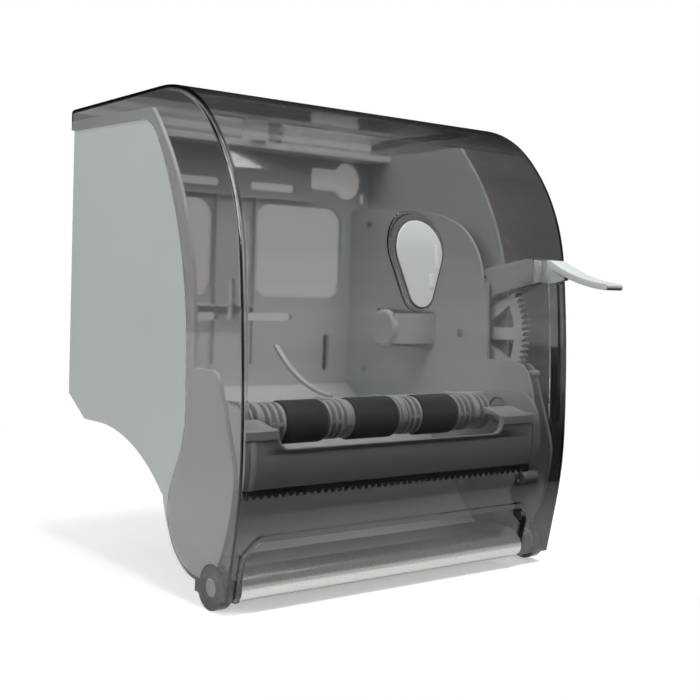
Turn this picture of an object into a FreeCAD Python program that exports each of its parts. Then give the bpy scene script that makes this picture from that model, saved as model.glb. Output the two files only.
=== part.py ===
import FreeCAD, Part
import math
import os
from types import SimpleNamespace

import Sketcher
from FreeCAD import Placement, Rotation, Vector

# Lever paper towel dispenser for a wall.
# Millimetres. +Z is up, +X is right seen from the front, and the front faces -Y.
# The wall is the plane Y = 0. The origin is the centre of the four wall slots.
# A "reach" is a distance out from the wall, so a point at that reach has Y = -reach.

doc = FreeCAD.newDocument("TowelDispenser")

# ---------------------------------------------------------------------------
# Driving sizes
# ---------------------------------------------------------------------------
DRIVING_SIZES = {
    # Cover: a one-piece hood of tinted plastic
    "cover_width": 312.0,
    "cover_wall": 3.0,
    "cover_edge_radius": 3.8,
    "cover_back_reach": 2.0,
    "cover_back_height": 104.5,
    "cover_reach": 256.46,
    "roof_rise": 2.0,
    "brow_radius": 90.0,
    "brow_turn": 46.0,
    "forehead_radius": 150.0,
    "forehead_turn": 39.0,
    "face_radius": 1100.0,
    "face_turn": 7.0,
    "chin_radius": 300.0,
    "chin_turn": 11.0,
    "chin_drop": 5.92,
    "cover_strip_bottom": 87.5,
    # Cover hinge
    "hinge_reach": 222.0,
    "hinge_height": -231.2,
    "hinge_boss_radius": 15.3,
    "boss_skin": 1.0,
    "hinge_pin_radius": 6.7,
    "hinge_lug_radius": 10.5,
    "running_gap": 0.06,
    "seated_gap": 0.02,
    # Paper mouth, low in the cover's face
    "mouth_left_in": 8.5,
    "mouth_right_in": 37.0,
    "mouth_top": -197.0,
    "mouth_corner_radius": 7.0,
    "mouth_corner_cut": 9.0,
    # Slot for the lever in the cover's face
    "slot_centre_in": 15.0,
    "slot_width": 12.0,
    "slot_bottom": -131.0,
    "slot_window_left_in": 37.5,
    "slot_window_right_in": 4.0,
    "slot_window_bottom": -20.5,
    "slot_window_top": -1.0,
    # Sight window in the cover's face
    "sight_centre": -6.5,
    "sight_head_height": 1.5,
    "sight_head_radius": 23.5,
    "sight_foot_height": -29.0,
    "sight_foot_radius": 12.5,
    "sight_rim": 3.0,
    "bead_height": 1.5,
    "bead_width": 4.0,
    # Cover lock
    "lock_across": 27.0,
    "lock_reach": 24.0,
    "lock_radius": 5.0,
    "lock_wall": 2.0,
    "lock_bottom": 98.0,
    "lock_height": 9.4,
    "lock_cam_length": 15.4,
    # Rear housing: light moulding that hangs on the wall
    "housing_side_gap": 0.5,
    "housing_wall": 3.0,
    "back_plate": 4.0,
    "housing_top": 95.0,
    "back_bottom": -121.3,
    "flange_bottom": 88.5,
    "flange_reach": 34.0,
    "screw_radius": 1.5,
    "shank_gap": 0.05,
    "bush_radius": 7.0,
    "bush_skin": 0.8,
    "pinch_slot_half": 4.2,
    "spring_reach": 128.0,
    "spring_foot": -118.0,
    "spring_radius": 2.8,
    "spring_wire": 0.5,
    "spring_gap": 0.3,
    "tail_pin_height": -5.1,
    "tail_pin_radius": 1.5,
    "nose_screw_reach": 214.0,
    "rim_reach": 193.5,
    "cheek_top": -86.3,
    "foot_height": -228.0,
    "foot_radius": 54.0,
    "belly_reach": 148.7,
    "belly_height": -178.5,
    "belly_radius": 140.0,
    # Wall slots and the windows of the back plate
    "wall_slot_spacing_x": 78.0,
    "wall_slot_spacing_z": 116.5,
    "wall_slot_length": 49.0,
    "wall_slot_width": 7.0,
    "window_inner": 21.0,
    "window_outer": 118.0,
    "window_bottom": -40.0,
    "window_top": 43.0,
    "window_radius": 15.0,
    "cable_hole_in": 33.0,
    # Feed roller
    "feed_reach": 205.0,
    "feed_height": -125.0,
    "core_left_in": 22.0,
    "core_right_in": 48.0,
    "sleeve_radius": 15.5,
    "side_sleeve_length": 34.0,
    "middle_sleeve_length": 40.0,
    "sleeve_pitch": 63.75,
    "core_ring_radius": 14.2,
    "core_ring_width": 2.2,
    "core_root_radius": 9.0,
    "feed_shaft_radius": 4.0,
    # Pinch roller
    "pinch_angle": 18.06,
    "pinch_gap": 0.5,
    "pinch_radius": 8.2,
    "pinch_shaft_radius": 2.5,
    "pinch_tyre_length": 30.0,
    # Gears
    "gear_module": 1.5,
    "sector_teeth": 86.0,
    "pinion_teeth": 18.0,
    "mesh_angle": 50.4,
    "backlash_angle": 0.35,
    "gear_width": 6.0,
    "gear_left_in": 17.0,
    # Lever
    "pivot_pin_radius": 4.0,
    "arm_plate": 3.6,
    "arm_left_in": 20.8,
    "neck_width": 5.0,
    "neck_right_in": 12.5,
    "paddle_left_in": 24.5,
    "paddle_right_in": 6.3,
    "paddle_height": -2.2,
    "paddle_wall": 5.0,
    # Gear cover: the inner side panel
    "gear_cover_left_in": 26.0,
    "gear_cover_wall": 2.5,
    "panel_gap": 0.3,
    "clutch_radius": 7.5,
    # Nose bar and tear blade
    "nose_reach": 248.0,
    "nose_back_reach": 208.0,
    "nose_bottom": -238.2,
    "blade_reach": 243.0,
    "blade_wall": 0.8,
    "blade_top": -149.0,
    "blade_bar_bottom": -163.0,
    "tooth_pitch": 6.0,
    "tooth_depth": 3.0,
    # Lock keeper
    "keeper_half": 13.5,
    "keeper_top": 101.0,
    # Stripping fingers
    "finger_width": 5.0,
    "finger_inner_spot": 26.75,
    # Roll hubs
    "hub_stem_radius": 10.0,
    "hub_stem_length": 28.0,
    "hub_guide_length": 30.0,
    "hub_spring_length": 6.2,
    "roll_reach": 107.0,
    "roll_height": -63.0,
    "hub_radius": 15.8,
    "right_hub_face_in": 72.0,
    "left_hub_face_in": 52.0,
    "gear_rim_reach": 185.0,
    "screw_head_radius": 3.2,
    "screw_head_height": 1.8,
    # Front chute
    "chute_reach": 216.0,
    "chute_height": -107.6,
    "chute_open_left_in": 33.0,
    "chute_open_right_in": 69.0,
    "chute_open_bottom": -136.8,
    "chute_open_bend": 9.0,
    "chute_rim": 2.4,
    "chute_rim_height": 0.9,
    "chute_border": 8.0,
    "chute_wall": 2.5,
    "chute_left_in": 6.8,
    "chute_right_in": 26.3,
}


class Size:
    """A number together with the sheet formula that gives it."""

    def __init__(self, value, text):
        self.value = value
        self.text = text

    def __add__(self, other):
        return combined(self, "+", other, lambda a, b: a + b)

    def __radd__(self, other):
        return combined(other, "+", self, lambda a, b: a + b)

    def __sub__(self, other):
        return combined(self, "-", other, lambda a, b: a - b)

    def __rsub__(self, other):
        return combined(other, "-", self, lambda a, b: a - b)

    def __mul__(self, other):
        return combined(self, "*", other, lambda a, b: a * b)

    def __rmul__(self, other):
        return combined(other, "*", self, lambda a, b: a * b)

    def __truediv__(self, other):
        return combined(self, "/", other, lambda a, b: a / b)

    def __rtruediv__(self, other):
        return combined(other, "/", self, lambda a, b: a / b)

    def __neg__(self):
        return Size(-self.value, f"(-{self.text})")


def as_size(number):
    if isinstance(number, Size):
        return number
    return Size(float(number), f"({float(number)!r})")


def combined(first, sign, second, rule):
    first, second = as_size(first), as_size(second)
    return Size(rule(first.value, second.value), f"({first.text} {sign} {second.text})")


def cosine(angle):
    angle = as_size(angle)
    return Size(math.cos(math.radians(angle.value)), f"cos({angle.text} * 1 deg)")


def sine(angle):
    angle = as_size(angle)
    return Size(math.sin(math.radians(angle.value)), f"sin({angle.text} * 1 deg)")


def tangent(angle):
    angle = as_size(angle)
    return Size(math.tan(math.radians(angle.value)), f"tan({angle.text} * 1 deg)")


def arc_cosine(ratio):
    """The angle in degrees that has this cosine."""
    ratio = as_size(ratio)
    return Size(math.degrees(math.acos(ratio.value)), f"(acos({ratio.text}) / 1 deg)")


def root(size):
    size = as_size(size)
    return Size(math.sqrt(size.value), f"sqrt({size.text})")


sheet = doc.addObject("Spreadsheet::Sheet", "Sizes")
for row, (alias, number) in enumerate(DRIVING_SIZES.items(), start=1):
    sheet.set(f"A{row}", alias.replace("_", " "))
    sheet.set(f"B{row}", str(number))
    sheet.setAlias(f"B{row}", alias)
doc.recompute()
s = SimpleNamespace(**{alias: Size(number, f"Sizes.{alias}") for alias, number in DRIVING_SIZES.items()})


# ---------------------------------------------------------------------------
# Ways of making pieces
# ---------------------------------------------------------------------------
def bind(feature, path, size):
    feature.setExpression(path, as_size(size).text)


def new_body(name, x=0, y=0, z=0):
    """An empty piece whose own origin is moved to (x, y, z)."""
    body = doc.addObject("PartDesign::Body", name)
    body.Label = name
    body.Placement = Placement(Vector(as_size(x).value, as_size(y).value, as_size(z).value), Rotation())
    for axis, place in (("x", x), ("y", y), ("z", z)):
        if isinstance(place, Size):
            bind(body, f"Placement.Base.{axis}", place)
    return body


def sketch_on(body, name, plane, offset, loops):
    """A sketch of closed loops on one of the body's planes, moved along the plane's normal."""
    sketch = body.newObject("Sketcher::SketchObject", name)
    support = next(f for f in body.Origin.OriginFeatures if f.Role == plane + "_Plane")
    sketch.AttachmentSupport = [(support, "")]
    sketch.MapMode = "FlatFace"
    sketch.AttachmentOffset = Placement(Vector(0, 0, as_size(offset).value), Rotation())
    bind(sketch, "AttachmentOffset.Base.z", offset)
    for loop in loops:
        if isinstance(loop, Circle):
            draw_circle(sketch, loop)
        else:
            draw_loop(sketch, loop)
    return sketch


class Circle:
    def __init__(self, across, up, radius):
        self.across, self.up, self.radius = as_size(across), as_size(up), as_size(radius)


def hold(sketch, kind, *items):
    """Adds a constraint whose last item is a size, and binds it to that size's formula."""
    size = as_size(items[-1])
    index = sketch.addConstraint(Sketcher.Constraint(kind, *items[:-1], size.value))
    bind(sketch, f"Constraints[{index}]", size)


def draw_circle(sketch, circle):
    centre = Vector(circle.across.value, circle.up.value, 0)
    edge = sketch.addGeometry(Part.Circle(centre, Vector(0, 0, 1), circle.radius.value), False)
    hold(sketch, "DistanceX", edge, 3, circle.across)
    hold(sketch, "DistanceY", edge, 3, circle.up)
    hold(sketch, "Radius", edge, circle.radius)


def draw_loop(sketch, corners):
    """Closed loop through corners (across, up) or (across, up, bend).

    A bend is the radius of the arc that arrives at the corner: positive turns left on the way,
    negative turns right. Without one the corner is reached by a straight line.
    """
    corners = [tuple(as_size(item) for item in corner) for corner in corners]
    corners = [corner for before, corner in zip([corners[-1]] + corners[:-1], corners)
               if abs(before[0].value - corner[0].value) + abs(before[1].value - corner[1].value) > 1e-6]
    edges = []
    for before, corner in zip([corners[-1]] + corners[:-1], corners):
        start = Vector(before[0].value, before[1].value, 0)
        end = Vector(corner[0].value, corner[1].value, 0)
        if len(corner) == 2:
            edges.append((sketch.addGeometry(Part.LineSegment(start, end), False), 1, 2))
            continue
        bend = corner[2].value
        chord = end - start
        lift = math.sqrt(max(bend * bend - chord.Length ** 2 / 4, 0.0))
        left = Vector(-chord.y, chord.x, 0).normalize()
        centre = (start + end) * 0.5 + left * math.copysign(lift, bend)
        first, last = (start, end) if bend > 0 else (end, start)
        angles = [math.atan2(p.y - centre.y, p.x - centre.x) for p in (first, last)]
        arc = Part.ArcOfCircle(Part.Circle(centre, Vector(0, 0, 1), abs(bend)), *angles)
        edge = sketch.addGeometry(arc, False)
        edges.append((edge, 1, 2) if bend > 0 else (edge, 2, 1))
    for index, (edge, start, end) in enumerate(edges):
        following = edges[(index + 1) % len(edges)]
        sketch.addConstraint(Sketcher.Constraint("Coincident", edge, end, following[0], following[1]))
    for (edge, start, end), corner in zip(edges, corners):
        hold(sketch, "DistanceX", edge, end, corner[0])
        hold(sketch, "DistanceY", edge, end, corner[1])
        if len(corner) == 3:
            hold(sketch, "Radius", edge, corner[2] if corner[2].value > 0 else -corner[2])


def smooth_run(start, heading, moves):
    """Corners of a run without kinks: each move is (length,) straight on, or (radius, turn) left."""
    across, up = (as_size(item) for item in start)
    heading = as_size(heading)
    corners = []
    for move in moves:
        if len(move) == 1:
            across = across + move[0] * cosine(heading)
            up = up + move[0] * sine(heading)
            corners.append((across, up))
            continue
        radius, turn = move
        after = heading + turn
        across = across + radius * (sine(after) - sine(heading))
        up = up + radius * (cosine(heading) - cosine(after))
        heading = after
        corners.append((across, up, radius))
    return corners


def rounded_box(left, bottom, right, top, radius):
    """Loop of a rectangle with round corners, counter-clockwise from the lower left."""
    return [
        (right - radius, bottom),
        (right, bottom + radius, radius),
        (right, top - radius),
        (right - radius, top, radius),
        (left + radius, top),
        (left, top - radius, radius),
        (left, bottom + radius),
        (left + radius, bottom, radius),
    ]


def box_loop(left, bottom, right, top):
    return [(left, bottom), (right, bottom), (right, top), (left, top)]


def pill(left, bottom, right, top):
    """Loop of a slot with round ends."""
    wide, high = as_size(right - left), as_size(top - bottom)
    return rounded_box(left, bottom, right, top, (wide if wide.value < high.value else high) / 2)


def pear(centre, high, wide_radius, low, narrow_radius):
    """Loop around a wide circle at the top and a narrow circle at the bottom."""
    lean = (wide_radius - narrow_radius) / (high - low)
    side = root(1 - lean * lean)
    return [(centre - narrow_radius * side, low - narrow_radius * lean),
            (centre, low - narrow_radius, narrow_radius),
            (centre + narrow_radius * side, low - narrow_radius * lean, narrow_radius),
            (centre + wide_radius * side, high - wide_radius * lean),
            (centre, high + wide_radius, wide_radius),
            (centre - wide_radius * side, high - wide_radius * lean, wide_radius)]


def turned_back(start, corners):
    """The same run walked the other way, without its last corner and with its start."""
    path = [start] + corners
    walked = []
    for before, corner in zip(path[-2::-1], path[:0:-1]):
        bend = (-as_size(corner[2]),) if len(corner) == 3 else ()
        walked.append(tuple(before[:2]) + bend)
    return walked


def strip(start, corners, inner_start, inner_corners):
    """Loop between a run and the same run moved to its side."""
    return [start] + corners + [inner_corners[-1][:2]] + turned_back(inner_start, inner_corners)


def pad(body, name, plane, offset, length, *loops):
    """Adds the loops, from the offset on by the length along the plane's normal."""
    feature = body.newObject("PartDesign::Pad", name)
    feature.Profile = sketch_on(body, name + "_sketch", plane, offset, loops)
    feature.Length = as_size(length).value
    bind(feature, "Length", length)
    body.Tip = feature
    return feature


def pocket(body, name, plane, offset, length, *loops):
    """Takes the loops away, from the offset on by the length along the plane's normal."""
    feature = body.newObject("PartDesign::Pocket", name)
    feature.Profile = sketch_on(body, name + "_sketch", plane, offset, loops)
    feature.Reversed = True
    feature.Length = as_size(length).value
    bind(feature, "Length", length)
    body.Tip = feature
    return feature


def turn_profile(body, name, loop):
    """Turns a half section (along X, away from the axis) about the body's own X axis."""
    feature = body.newObject("PartDesign::Revolution", name)
    feature.Profile = sketch_on(body, name + "_sketch", "XY", 0, [loop])
    axis = next(f for f in body.Origin.OriginFeatures if f.Role == "X_Axis")
    feature.ReferenceAxis = (axis, [""])
    feature.Angle = 360
    body.Tip = feature
    return feature


def polar_pattern(body, name, feature, angle, copies):
    """Repeats a feature about the body's own X axis, the first and last copy the angle apart."""
    pattern = body.newObject("PartDesign::PolarPattern", name)
    pattern.Originals = [feature]
    axis = next(f for f in body.Origin.OriginFeatures if f.Role == "X_Axis")
    pattern.Axis = (axis, [""])
    pattern.Angle = as_size(angle).value
    bind(pattern, "Angle", angle)
    pattern.Occurrences = copies
    body.Tip = pattern
    return pattern


def linear_pattern(body, name, feature, length, copies):
    """Repeats a feature along the body's own X axis."""
    pattern = body.newObject("PartDesign::LinearPattern", name)
    pattern.Originals = [feature]
    axis = next(f for f in body.Origin.OriginFeatures if f.Role == "X_Axis")
    pattern.Direction = (axis, [""])
    pattern.Length = as_size(length).value
    bind(pattern, "Length", length)
    pattern.Occurrences = copies
    body.Tip = pattern
    return pattern


def round_edges(body, name, radius, chooser):
    """Fillets the edges of the piece that the chooser picks by their bounding box and length."""
    doc.recompute()
    base = body.Tip
    picked = [f"Edge{n}" for n, edge in enumerate(base.Shape.Edges, start=1) if chooser(edge)]
    fillet = body.newObject("PartDesign::Fillet", name)
    fillet.Base = (base, picked)
    fillet.Radius = as_size(radius).value
    bind(fillet, "Radius", radius)
    body.Tip = fillet
    return fillet


def along(name, axis, radius, length, x, y, z):
    """A plain round bar that starts at (x, y, z) and runs along an axis."""
    turns = {"x": Rotation(Vector(0, 1, 0), 90), "y": Rotation(Vector(1, 0, 0), -90), "z": Rotation()}
    bar = doc.addObject("Part::Cylinder", name)
    bar.Label = name
    bind(bar, "Radius", radius)
    bind(bar, "Height", length)
    bar.Placement = Placement(Vector(as_size(x).value, as_size(y).value, as_size(z).value), turns[axis])
    for letter, place in (("x", x), ("y", y), ("z", z)):
        bind(bar, f"Placement.Base.{letter}", place)
    return bar


pieces = []


def finished(piece):
    """Lists a piece for the hand-over of its file."""
    pieces.append(piece)
    return piece


def fused(name, shapes):
    whole = doc.addObject("Part::MultiFuse", name)
    whole.Shapes = shapes
    return whole


def group(name, shapes):
    """Several equal pieces in one file."""
    holder = doc.addObject("Part::Compound", name)
    holder.Label = name
    holder.Links = shapes
    return finished(holder)


def coil(name, axis, radius, wire, length, turns, x, y, z):
    """A coil spring that starts at (x, y, z) and winds along an axis."""
    turns_by_axis = {"x": Rotation(Vector(0, 1, 0), 90), "z": Rotation()}
    body = doc.addObject("PartDesign::Body", name)
    body.Label = name
    start = Vector(as_size(x).value, as_size(y).value, as_size(z).value)
    body.Placement = Placement(start, turns_by_axis[axis])
    for letter, place in (("x", x), ("y", y), ("z", z)):
        bind(body, f"Placement.Base.{letter}", place)
    helix = body.newObject("PartDesign::AdditiveHelix", name + "_winding")
    helix.Profile = sketch_on(body, name + "_wire", "XZ", 0, [Circle(radius, wire, wire)])
    helix.ReferenceAxis = (next(f for f in body.Origin.OriginFeatures if f.Role == "Z_Axis"), [""])
    helix.Mode = "height-turns-growth"
    helix.Turns = turns
    helix.Height = as_size(length).value - 2 * as_size(wire).value
    bind(helix, "Height", length - 2 * as_size(wire))
    body.Tip = helix
    return finished(body)


# Values that several pieces share
half_width = s.cover_width / 2
# Sizes whose name ends in _in are measured inwards from the cover's side. The place keeps the name.
for alias in [alias for alias in DRIVING_SIZES if alias.endswith("_in")]:
    setattr(s, alias.removesuffix("_in"), half_width - getattr(s, alias))
housing_half = half_width - s.cover_wall - s.housing_side_gap
housing_inner = housing_half - s.housing_wall
lug_face = s.mouth_left - 0.3
nose_screw_places = [37 - s.mouth_left, (s.mouth_right - s.mouth_left) / 2, s.mouth_right - 37]
hinge_y = -s.hinge_reach
hinge_z = s.hinge_height
feed_y = -s.feed_reach
feed_z = s.feed_height
pinch_distance = s.sleeve_radius + s.pinch_radius + s.pinch_gap
s.pinch_reach = s.feed_reach - pinch_distance * cosine(s.pinch_angle)
s.pinch_height = s.feed_height - pinch_distance * sine(s.pinch_angle)
paper_centre = (s.core_right - s.core_left) / 2
core_half = (s.core_right + s.core_left) / 2
sleeve_end = s.sleeve_pitch + s.side_sleeve_length / 2
core_free = core_half - sleeve_end
gear_distance = s.gear_module * (s.sector_teeth + s.pinion_teeth) / 2
pivot_y = feed_y + gear_distance * cosine(s.mesh_angle)
pivot_z = feed_z + gear_distance * sine(s.mesh_angle)

# ---------------------------------------------------------------------------
# Cover shell
# ---------------------------------------------------------------------------

brow_heading = 180 - s.roof_rise
forehead_heading = brow_heading + s.brow_turn
face_heading = forehead_heading + s.forehead_turn
chin_heading = face_heading + s.face_turn
end_heading = chin_heading + s.chin_turn
cover_bends = [(s.brow_radius, brow_heading, forehead_heading), (s.forehead_radius, forehead_heading, face_heading),
               (s.face_radius, face_heading, chin_heading), (s.chin_radius, chin_heading, end_heading)]
bend_reaches = [radius * (sine(before) - sine(after)) for radius, before, after in cover_bends]
bend_drops = [radius * (cosine(after) - cosine(before)) for radius, before, after in cover_bends]
roof_length = ((s.cover_reach - s.cover_back_reach - bend_reaches[0] - bend_reaches[1] - bend_reaches[2])
               / cosine(s.roof_rise))
cover_bottom = s.hinge_height - s.chin_drop
chin_length = ((s.cover_back_height + roof_length * sine(s.roof_rise) - cover_bottom
                - bend_drops[0] - bend_drops[1] - bend_drops[2] - bend_drops[3]) / -sine(end_heading))


def cover_section(inset):
    """Start and further corners of the cover's outline, moved inwards by the inset."""
    start = (-s.cover_back_reach - inset * sine(s.roof_rise),
             s.cover_back_height - inset * cosine(s.roof_rise))
    return start, smooth_run(start, 180 - s.roof_rise, [
        (roof_length,),
        (s.brow_radius - inset, s.brow_turn),
        (s.forehead_radius - inset, s.forehead_turn),
        (s.face_radius - inset, s.face_turn),
        (s.chin_radius - inset, s.chin_turn),
        (chin_length,),
    ])


def cover_solid(name, inset, back, bottom, edge_radius):
    """The space inside the outline at an inset, with its long edges rounded."""
    body = new_body(name)
    start, corners = cover_section(inset)
    roof_end = start[1] - (back - start[0]) * tangent(s.roof_rise)
    loop = [(back, roof_end)] + corners + [(corners[-1][0], bottom), (back, bottom)]
    side = half_width - inset
    pad(body, name + "_block", "YZ", -side, 2 * side, loop)

    def is_long_edge(edge):
        box = edge.BoundBox
        on_side = box.XLength < 0.01 and abs(abs(box.XMin) - side.value) < 0.01
        on_back = box.YMin > as_size(back).value - 0.01
        on_bottom = box.ZMax < as_size(bottom).value + 0.01
        return on_side and not on_back and not on_bottom

    round_edges(body, name + "_rounding", edge_radius, is_long_edge)
    return body


def face_patch(name, outer_inset, inner_inset, left, right, outline):
    """A sheet that follows the cover's face between two insets, trimmed to an outline."""
    body = new_body(name)
    outer_start, outer = cover_section(as_size(outer_inset))
    inner_start, inner = cover_section(as_size(inner_inset))
    pad(body, name + "_sheet", "YZ", left, right - left, strip(outer_start, outer, inner_start, inner))
    frame = box_loop(left - 1, s.hinge_height - 30, right + 1, s.cover_back_height + 30)
    pocket(body, name + "_trim", "XZ", 0, s.hinge_reach + 80, frame, outline)
    return body


def join(body, name, kind, tools):
    """Fuses the tools to the piece or cuts them out of it."""
    doc.recompute()
    feature = body.newObject("PartDesign::Boolean", name)
    feature.setObjects(tools)
    feature.Type = kind
    body.Tip = feature
    return feature


cover_shell = cover_solid("cover_shell", as_size(0), -s.cover_back_reach, cover_bottom, s.cover_edge_radius)
cavity = cover_solid("cover_cavity", s.cover_wall, as_size(1), cover_bottom - 1,
                     s.cover_edge_radius - s.cover_wall)
join(cover_shell, "cover_hollow", "Cut", [cavity])

# The rear edge of both sides: under the top strip, down along the housing and round to the hinge
seam_start = (as_size(3), s.cover_strip_bottom)
seam = smooth_run(seam_start, 180, [
    (115,),
    (30, 57),
    (290, 32),
    (38,),
    (70, 27),
    (21,),
    (-43, -111),
])
pocket(cover_shell, "side_seam", "YZ", -half_width - 1, s.cover_width + 2,
       [seam_start] + seam + [(seam[-1][0], cover_bottom - 2), (3, cover_bottom - 2)])

# Bosses around the hinge pins, closed on the outside by a thin skin
boss_depth = half_width - s.mouth_left
for side_name, boss, bore in (("left", -half_width, s.boss_skin - half_width),
                              ("right", half_width - boss_depth, half_width - boss_depth - s.boss_skin)):
    pad(cover_shell, f"boss_{side_name}", "YZ", boss, boss_depth,
        Circle(hinge_y, hinge_z, s.hinge_boss_radius))
    pocket(cover_shell, f"boss_bore_{side_name}", "YZ", bore, boss_depth,
           Circle(hinge_y, hinge_z, s.hinge_pin_radius + s.running_gap))


# Paper mouth: open at the bottom, with both upper corners cut off and rounded
def mouth_loop(grow):
    """The mouth's outline, larger by a width on both sides and at the top."""
    bend, cut = s.mouth_corner_radius, s.mouth_corner_cut
    low = cover_bottom - s.hinge_boss_radius
    top_length = s.mouth_right + s.mouth_left - 2 * bend - 1.5 * cut * cosine(45)
    start = (s.mouth_right + grow, s.mouth_top - bend - cut / 2 * sine(45))
    return [(-s.mouth_left - grow, low), (s.mouth_right + grow, low), start] + smooth_run(start, 90, [
        (bend + grow, 45), (cut / 2,), (bend + grow, 45), (top_length,),
        (bend + grow, 45), (cut,), (bend + grow, 45)])


front_reach = s.cover_reach - 28.5
front_depth = as_size(50)
pocket(cover_shell, "mouth", "XZ", front_reach, front_depth, mouth_loop(0))
mouth_bead = face_patch("mouth_bead", -s.bead_height, 0.5, -half_width + 1, half_width - 6,
                        mouth_loop(s.bead_width))
pocket(mouth_bead, "mouth_bead_hole", "XZ", front_reach, front_depth, mouth_loop(0))
join(cover_shell, "mouth_rim", "Fuse", [mouth_bead])

# Slot that the lever's neck travels in, with a wider window at its upper end
slot_left, slot_right = s.slot_centre - s.slot_width / 2, s.slot_centre + s.slot_width / 2
pocket(cover_shell, "lever_slot", "XZ", front_reach, front_depth,
       pill(slot_left, s.slot_bottom, slot_right, s.slot_window_top - s.slot_width / 2))
pocket(cover_shell, "lever_window", "XZ", front_reach - 12, front_depth,
       rounded_box(s.slot_window_left, s.slot_window_bottom, s.slot_window_right, s.slot_window_top,
                   as_size(2)))

# Pear-shaped opening for the sight window and a round hole for the lock
pocket(cover_shell, "sight_opening", "XZ", front_reach - 12, front_depth + 12,
       pear(s.sight_centre, s.sight_head_height, s.sight_head_radius,
            s.sight_foot_height, s.sight_foot_radius))
pocket(cover_shell, "lock_hole", "XY", s.housing_top + 2, 30,
       Circle(s.lock_across, -s.lock_reach, s.lock_radius + s.lock_wall + s.seated_gap))
finished(cover_shell)

# ---------------------------------------------------------------------------
# Sight window: a clear plug with a raised rim, pressed into the cover's face
# ---------------------------------------------------------------------------
sight_left = s.sight_centre - s.sight_head_radius - s.sight_rim - 2
sight_right = s.sight_centre + s.sight_head_radius + s.sight_rim + 2
sight_rim = face_patch("sight_rim", -s.bead_height, -s.seated_gap, sight_left, sight_right,
                       pear(s.sight_centre, s.sight_head_height, s.sight_head_radius + s.sight_rim,
                            s.sight_foot_height, s.sight_foot_radius + s.sight_rim))
sight_plug = face_patch("sight_plug", -s.bead_height / 2, s.cover_wall, sight_left, sight_right,
                        pear(s.sight_centre, s.sight_head_height, s.sight_head_radius - s.seated_gap * 2,
                             s.sight_foot_height, s.sight_foot_radius - s.seated_gap * 2))
join(sight_rim, "sight_window_whole", "Fuse", [sight_plug])
sight_rim.Label = "sight_window"
finished(sight_rim)

# ---------------------------------------------------------------------------
# Cover lock: housing pressed into the roof, barrel with its cam turning inside
# ---------------------------------------------------------------------------
lock_y = -s.lock_reach
lock_housing = new_body("lock_housing", s.lock_across, lock_y, s.lock_bottom)
pad(lock_housing, "lock_tube", "XY", 0, s.lock_height, Circle(0, 0, s.lock_radius + s.lock_wall))
pad(lock_housing, "lock_collar", "XY", s.lock_height - 1.5, 1.5, Circle(0, 0, s.lock_radius + s.lock_wall + 2.5))
pocket(lock_housing, "lock_bore", "XY", -1, s.lock_height + 2, Circle(0, 0, s.lock_radius))
finished(lock_housing)

lock_barrel = new_body("lock_barrel", s.lock_across, lock_y, s.lock_bottom)
barrel_radius = s.lock_radius - s.running_gap
pad(lock_barrel, "barrel", "XY", -2, s.lock_height + 1, Circle(0, 0, barrel_radius))
pocket(lock_barrel, "key_way", "XY", s.lock_height - 6, 10,
       box_loop(-barrel_radius * 0.6, as_size(-0.9), barrel_radius * 0.6, as_size(0.9)))
pad(lock_barrel, "cam_square", "XY", -4.2, 2.2, box_loop(-2.5, -2.5, 2.5, 2.5))
finished(lock_barrel)

lock_cam = new_body("lock_cam", s.lock_across, lock_y, s.lock_bottom - 4)
cam_half = as_size(4)
pad(lock_cam, "cam_plate", "XY", 0, 1.9,
    [(-cam_half, 0), (0, -cam_half, cam_half), (cam_half, 0, cam_half),
     (cam_half, s.lock_cam_length - cam_half), (0, s.lock_cam_length, cam_half),
     (-cam_half, s.lock_cam_length - cam_half, cam_half)])
pocket(lock_cam, "cam_hole", "XY", -1, 4, box_loop(-2.52, -2.52, 2.52, 2.52))
finished(lock_cam)

# ---------------------------------------------------------------------------
# Rear housing
# ---------------------------------------------------------------------------


def floor_line(rise, end_reach=0):
    """The underside from the foot up to the belly's corner and back to the wall, moved inwards."""
    start = (-s.hinge_reach + 4, s.foot_height + rise)
    front = smooth_run(start, 0, [(12,), (s.foot_radius - rise, 72), (12,)])
    corner = (-s.belly_reach - rise * sine(44), s.belly_height + rise * cosine(44))
    back = smooth_run(corner, 44, [(-s.belly_radius - rise, -44), (23,)])
    return start, front + [corner] + back + [(as_size(-end_reach), s.back_bottom + rise * 1.2 - end_reach * 0.6)]


floor_start, floor_corners = floor_line(as_size(0))
floor_inner_start, floor_inner = floor_line(s.housing_wall)
cheek_start = (-s.rim_reach, s.cheek_top)
cheek_run = smooth_run(cheek_start, 180, [(18.5,), (13, 70), (51,), (40, 25), (150, 25)])
rim_start = (as_size(0), s.housing_top)
rim_run = smooth_run(rim_start, 180, [(124,), (5, 46), (225, 41), (38,)])
side_loop = ([rim_start] + rim_run + [cheek_start] + cheek_run
             + [(hinge_y - 4, hinge_z - 2), (hinge_y + 4, hinge_z - 2), floor_start] + floor_corners)

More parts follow.
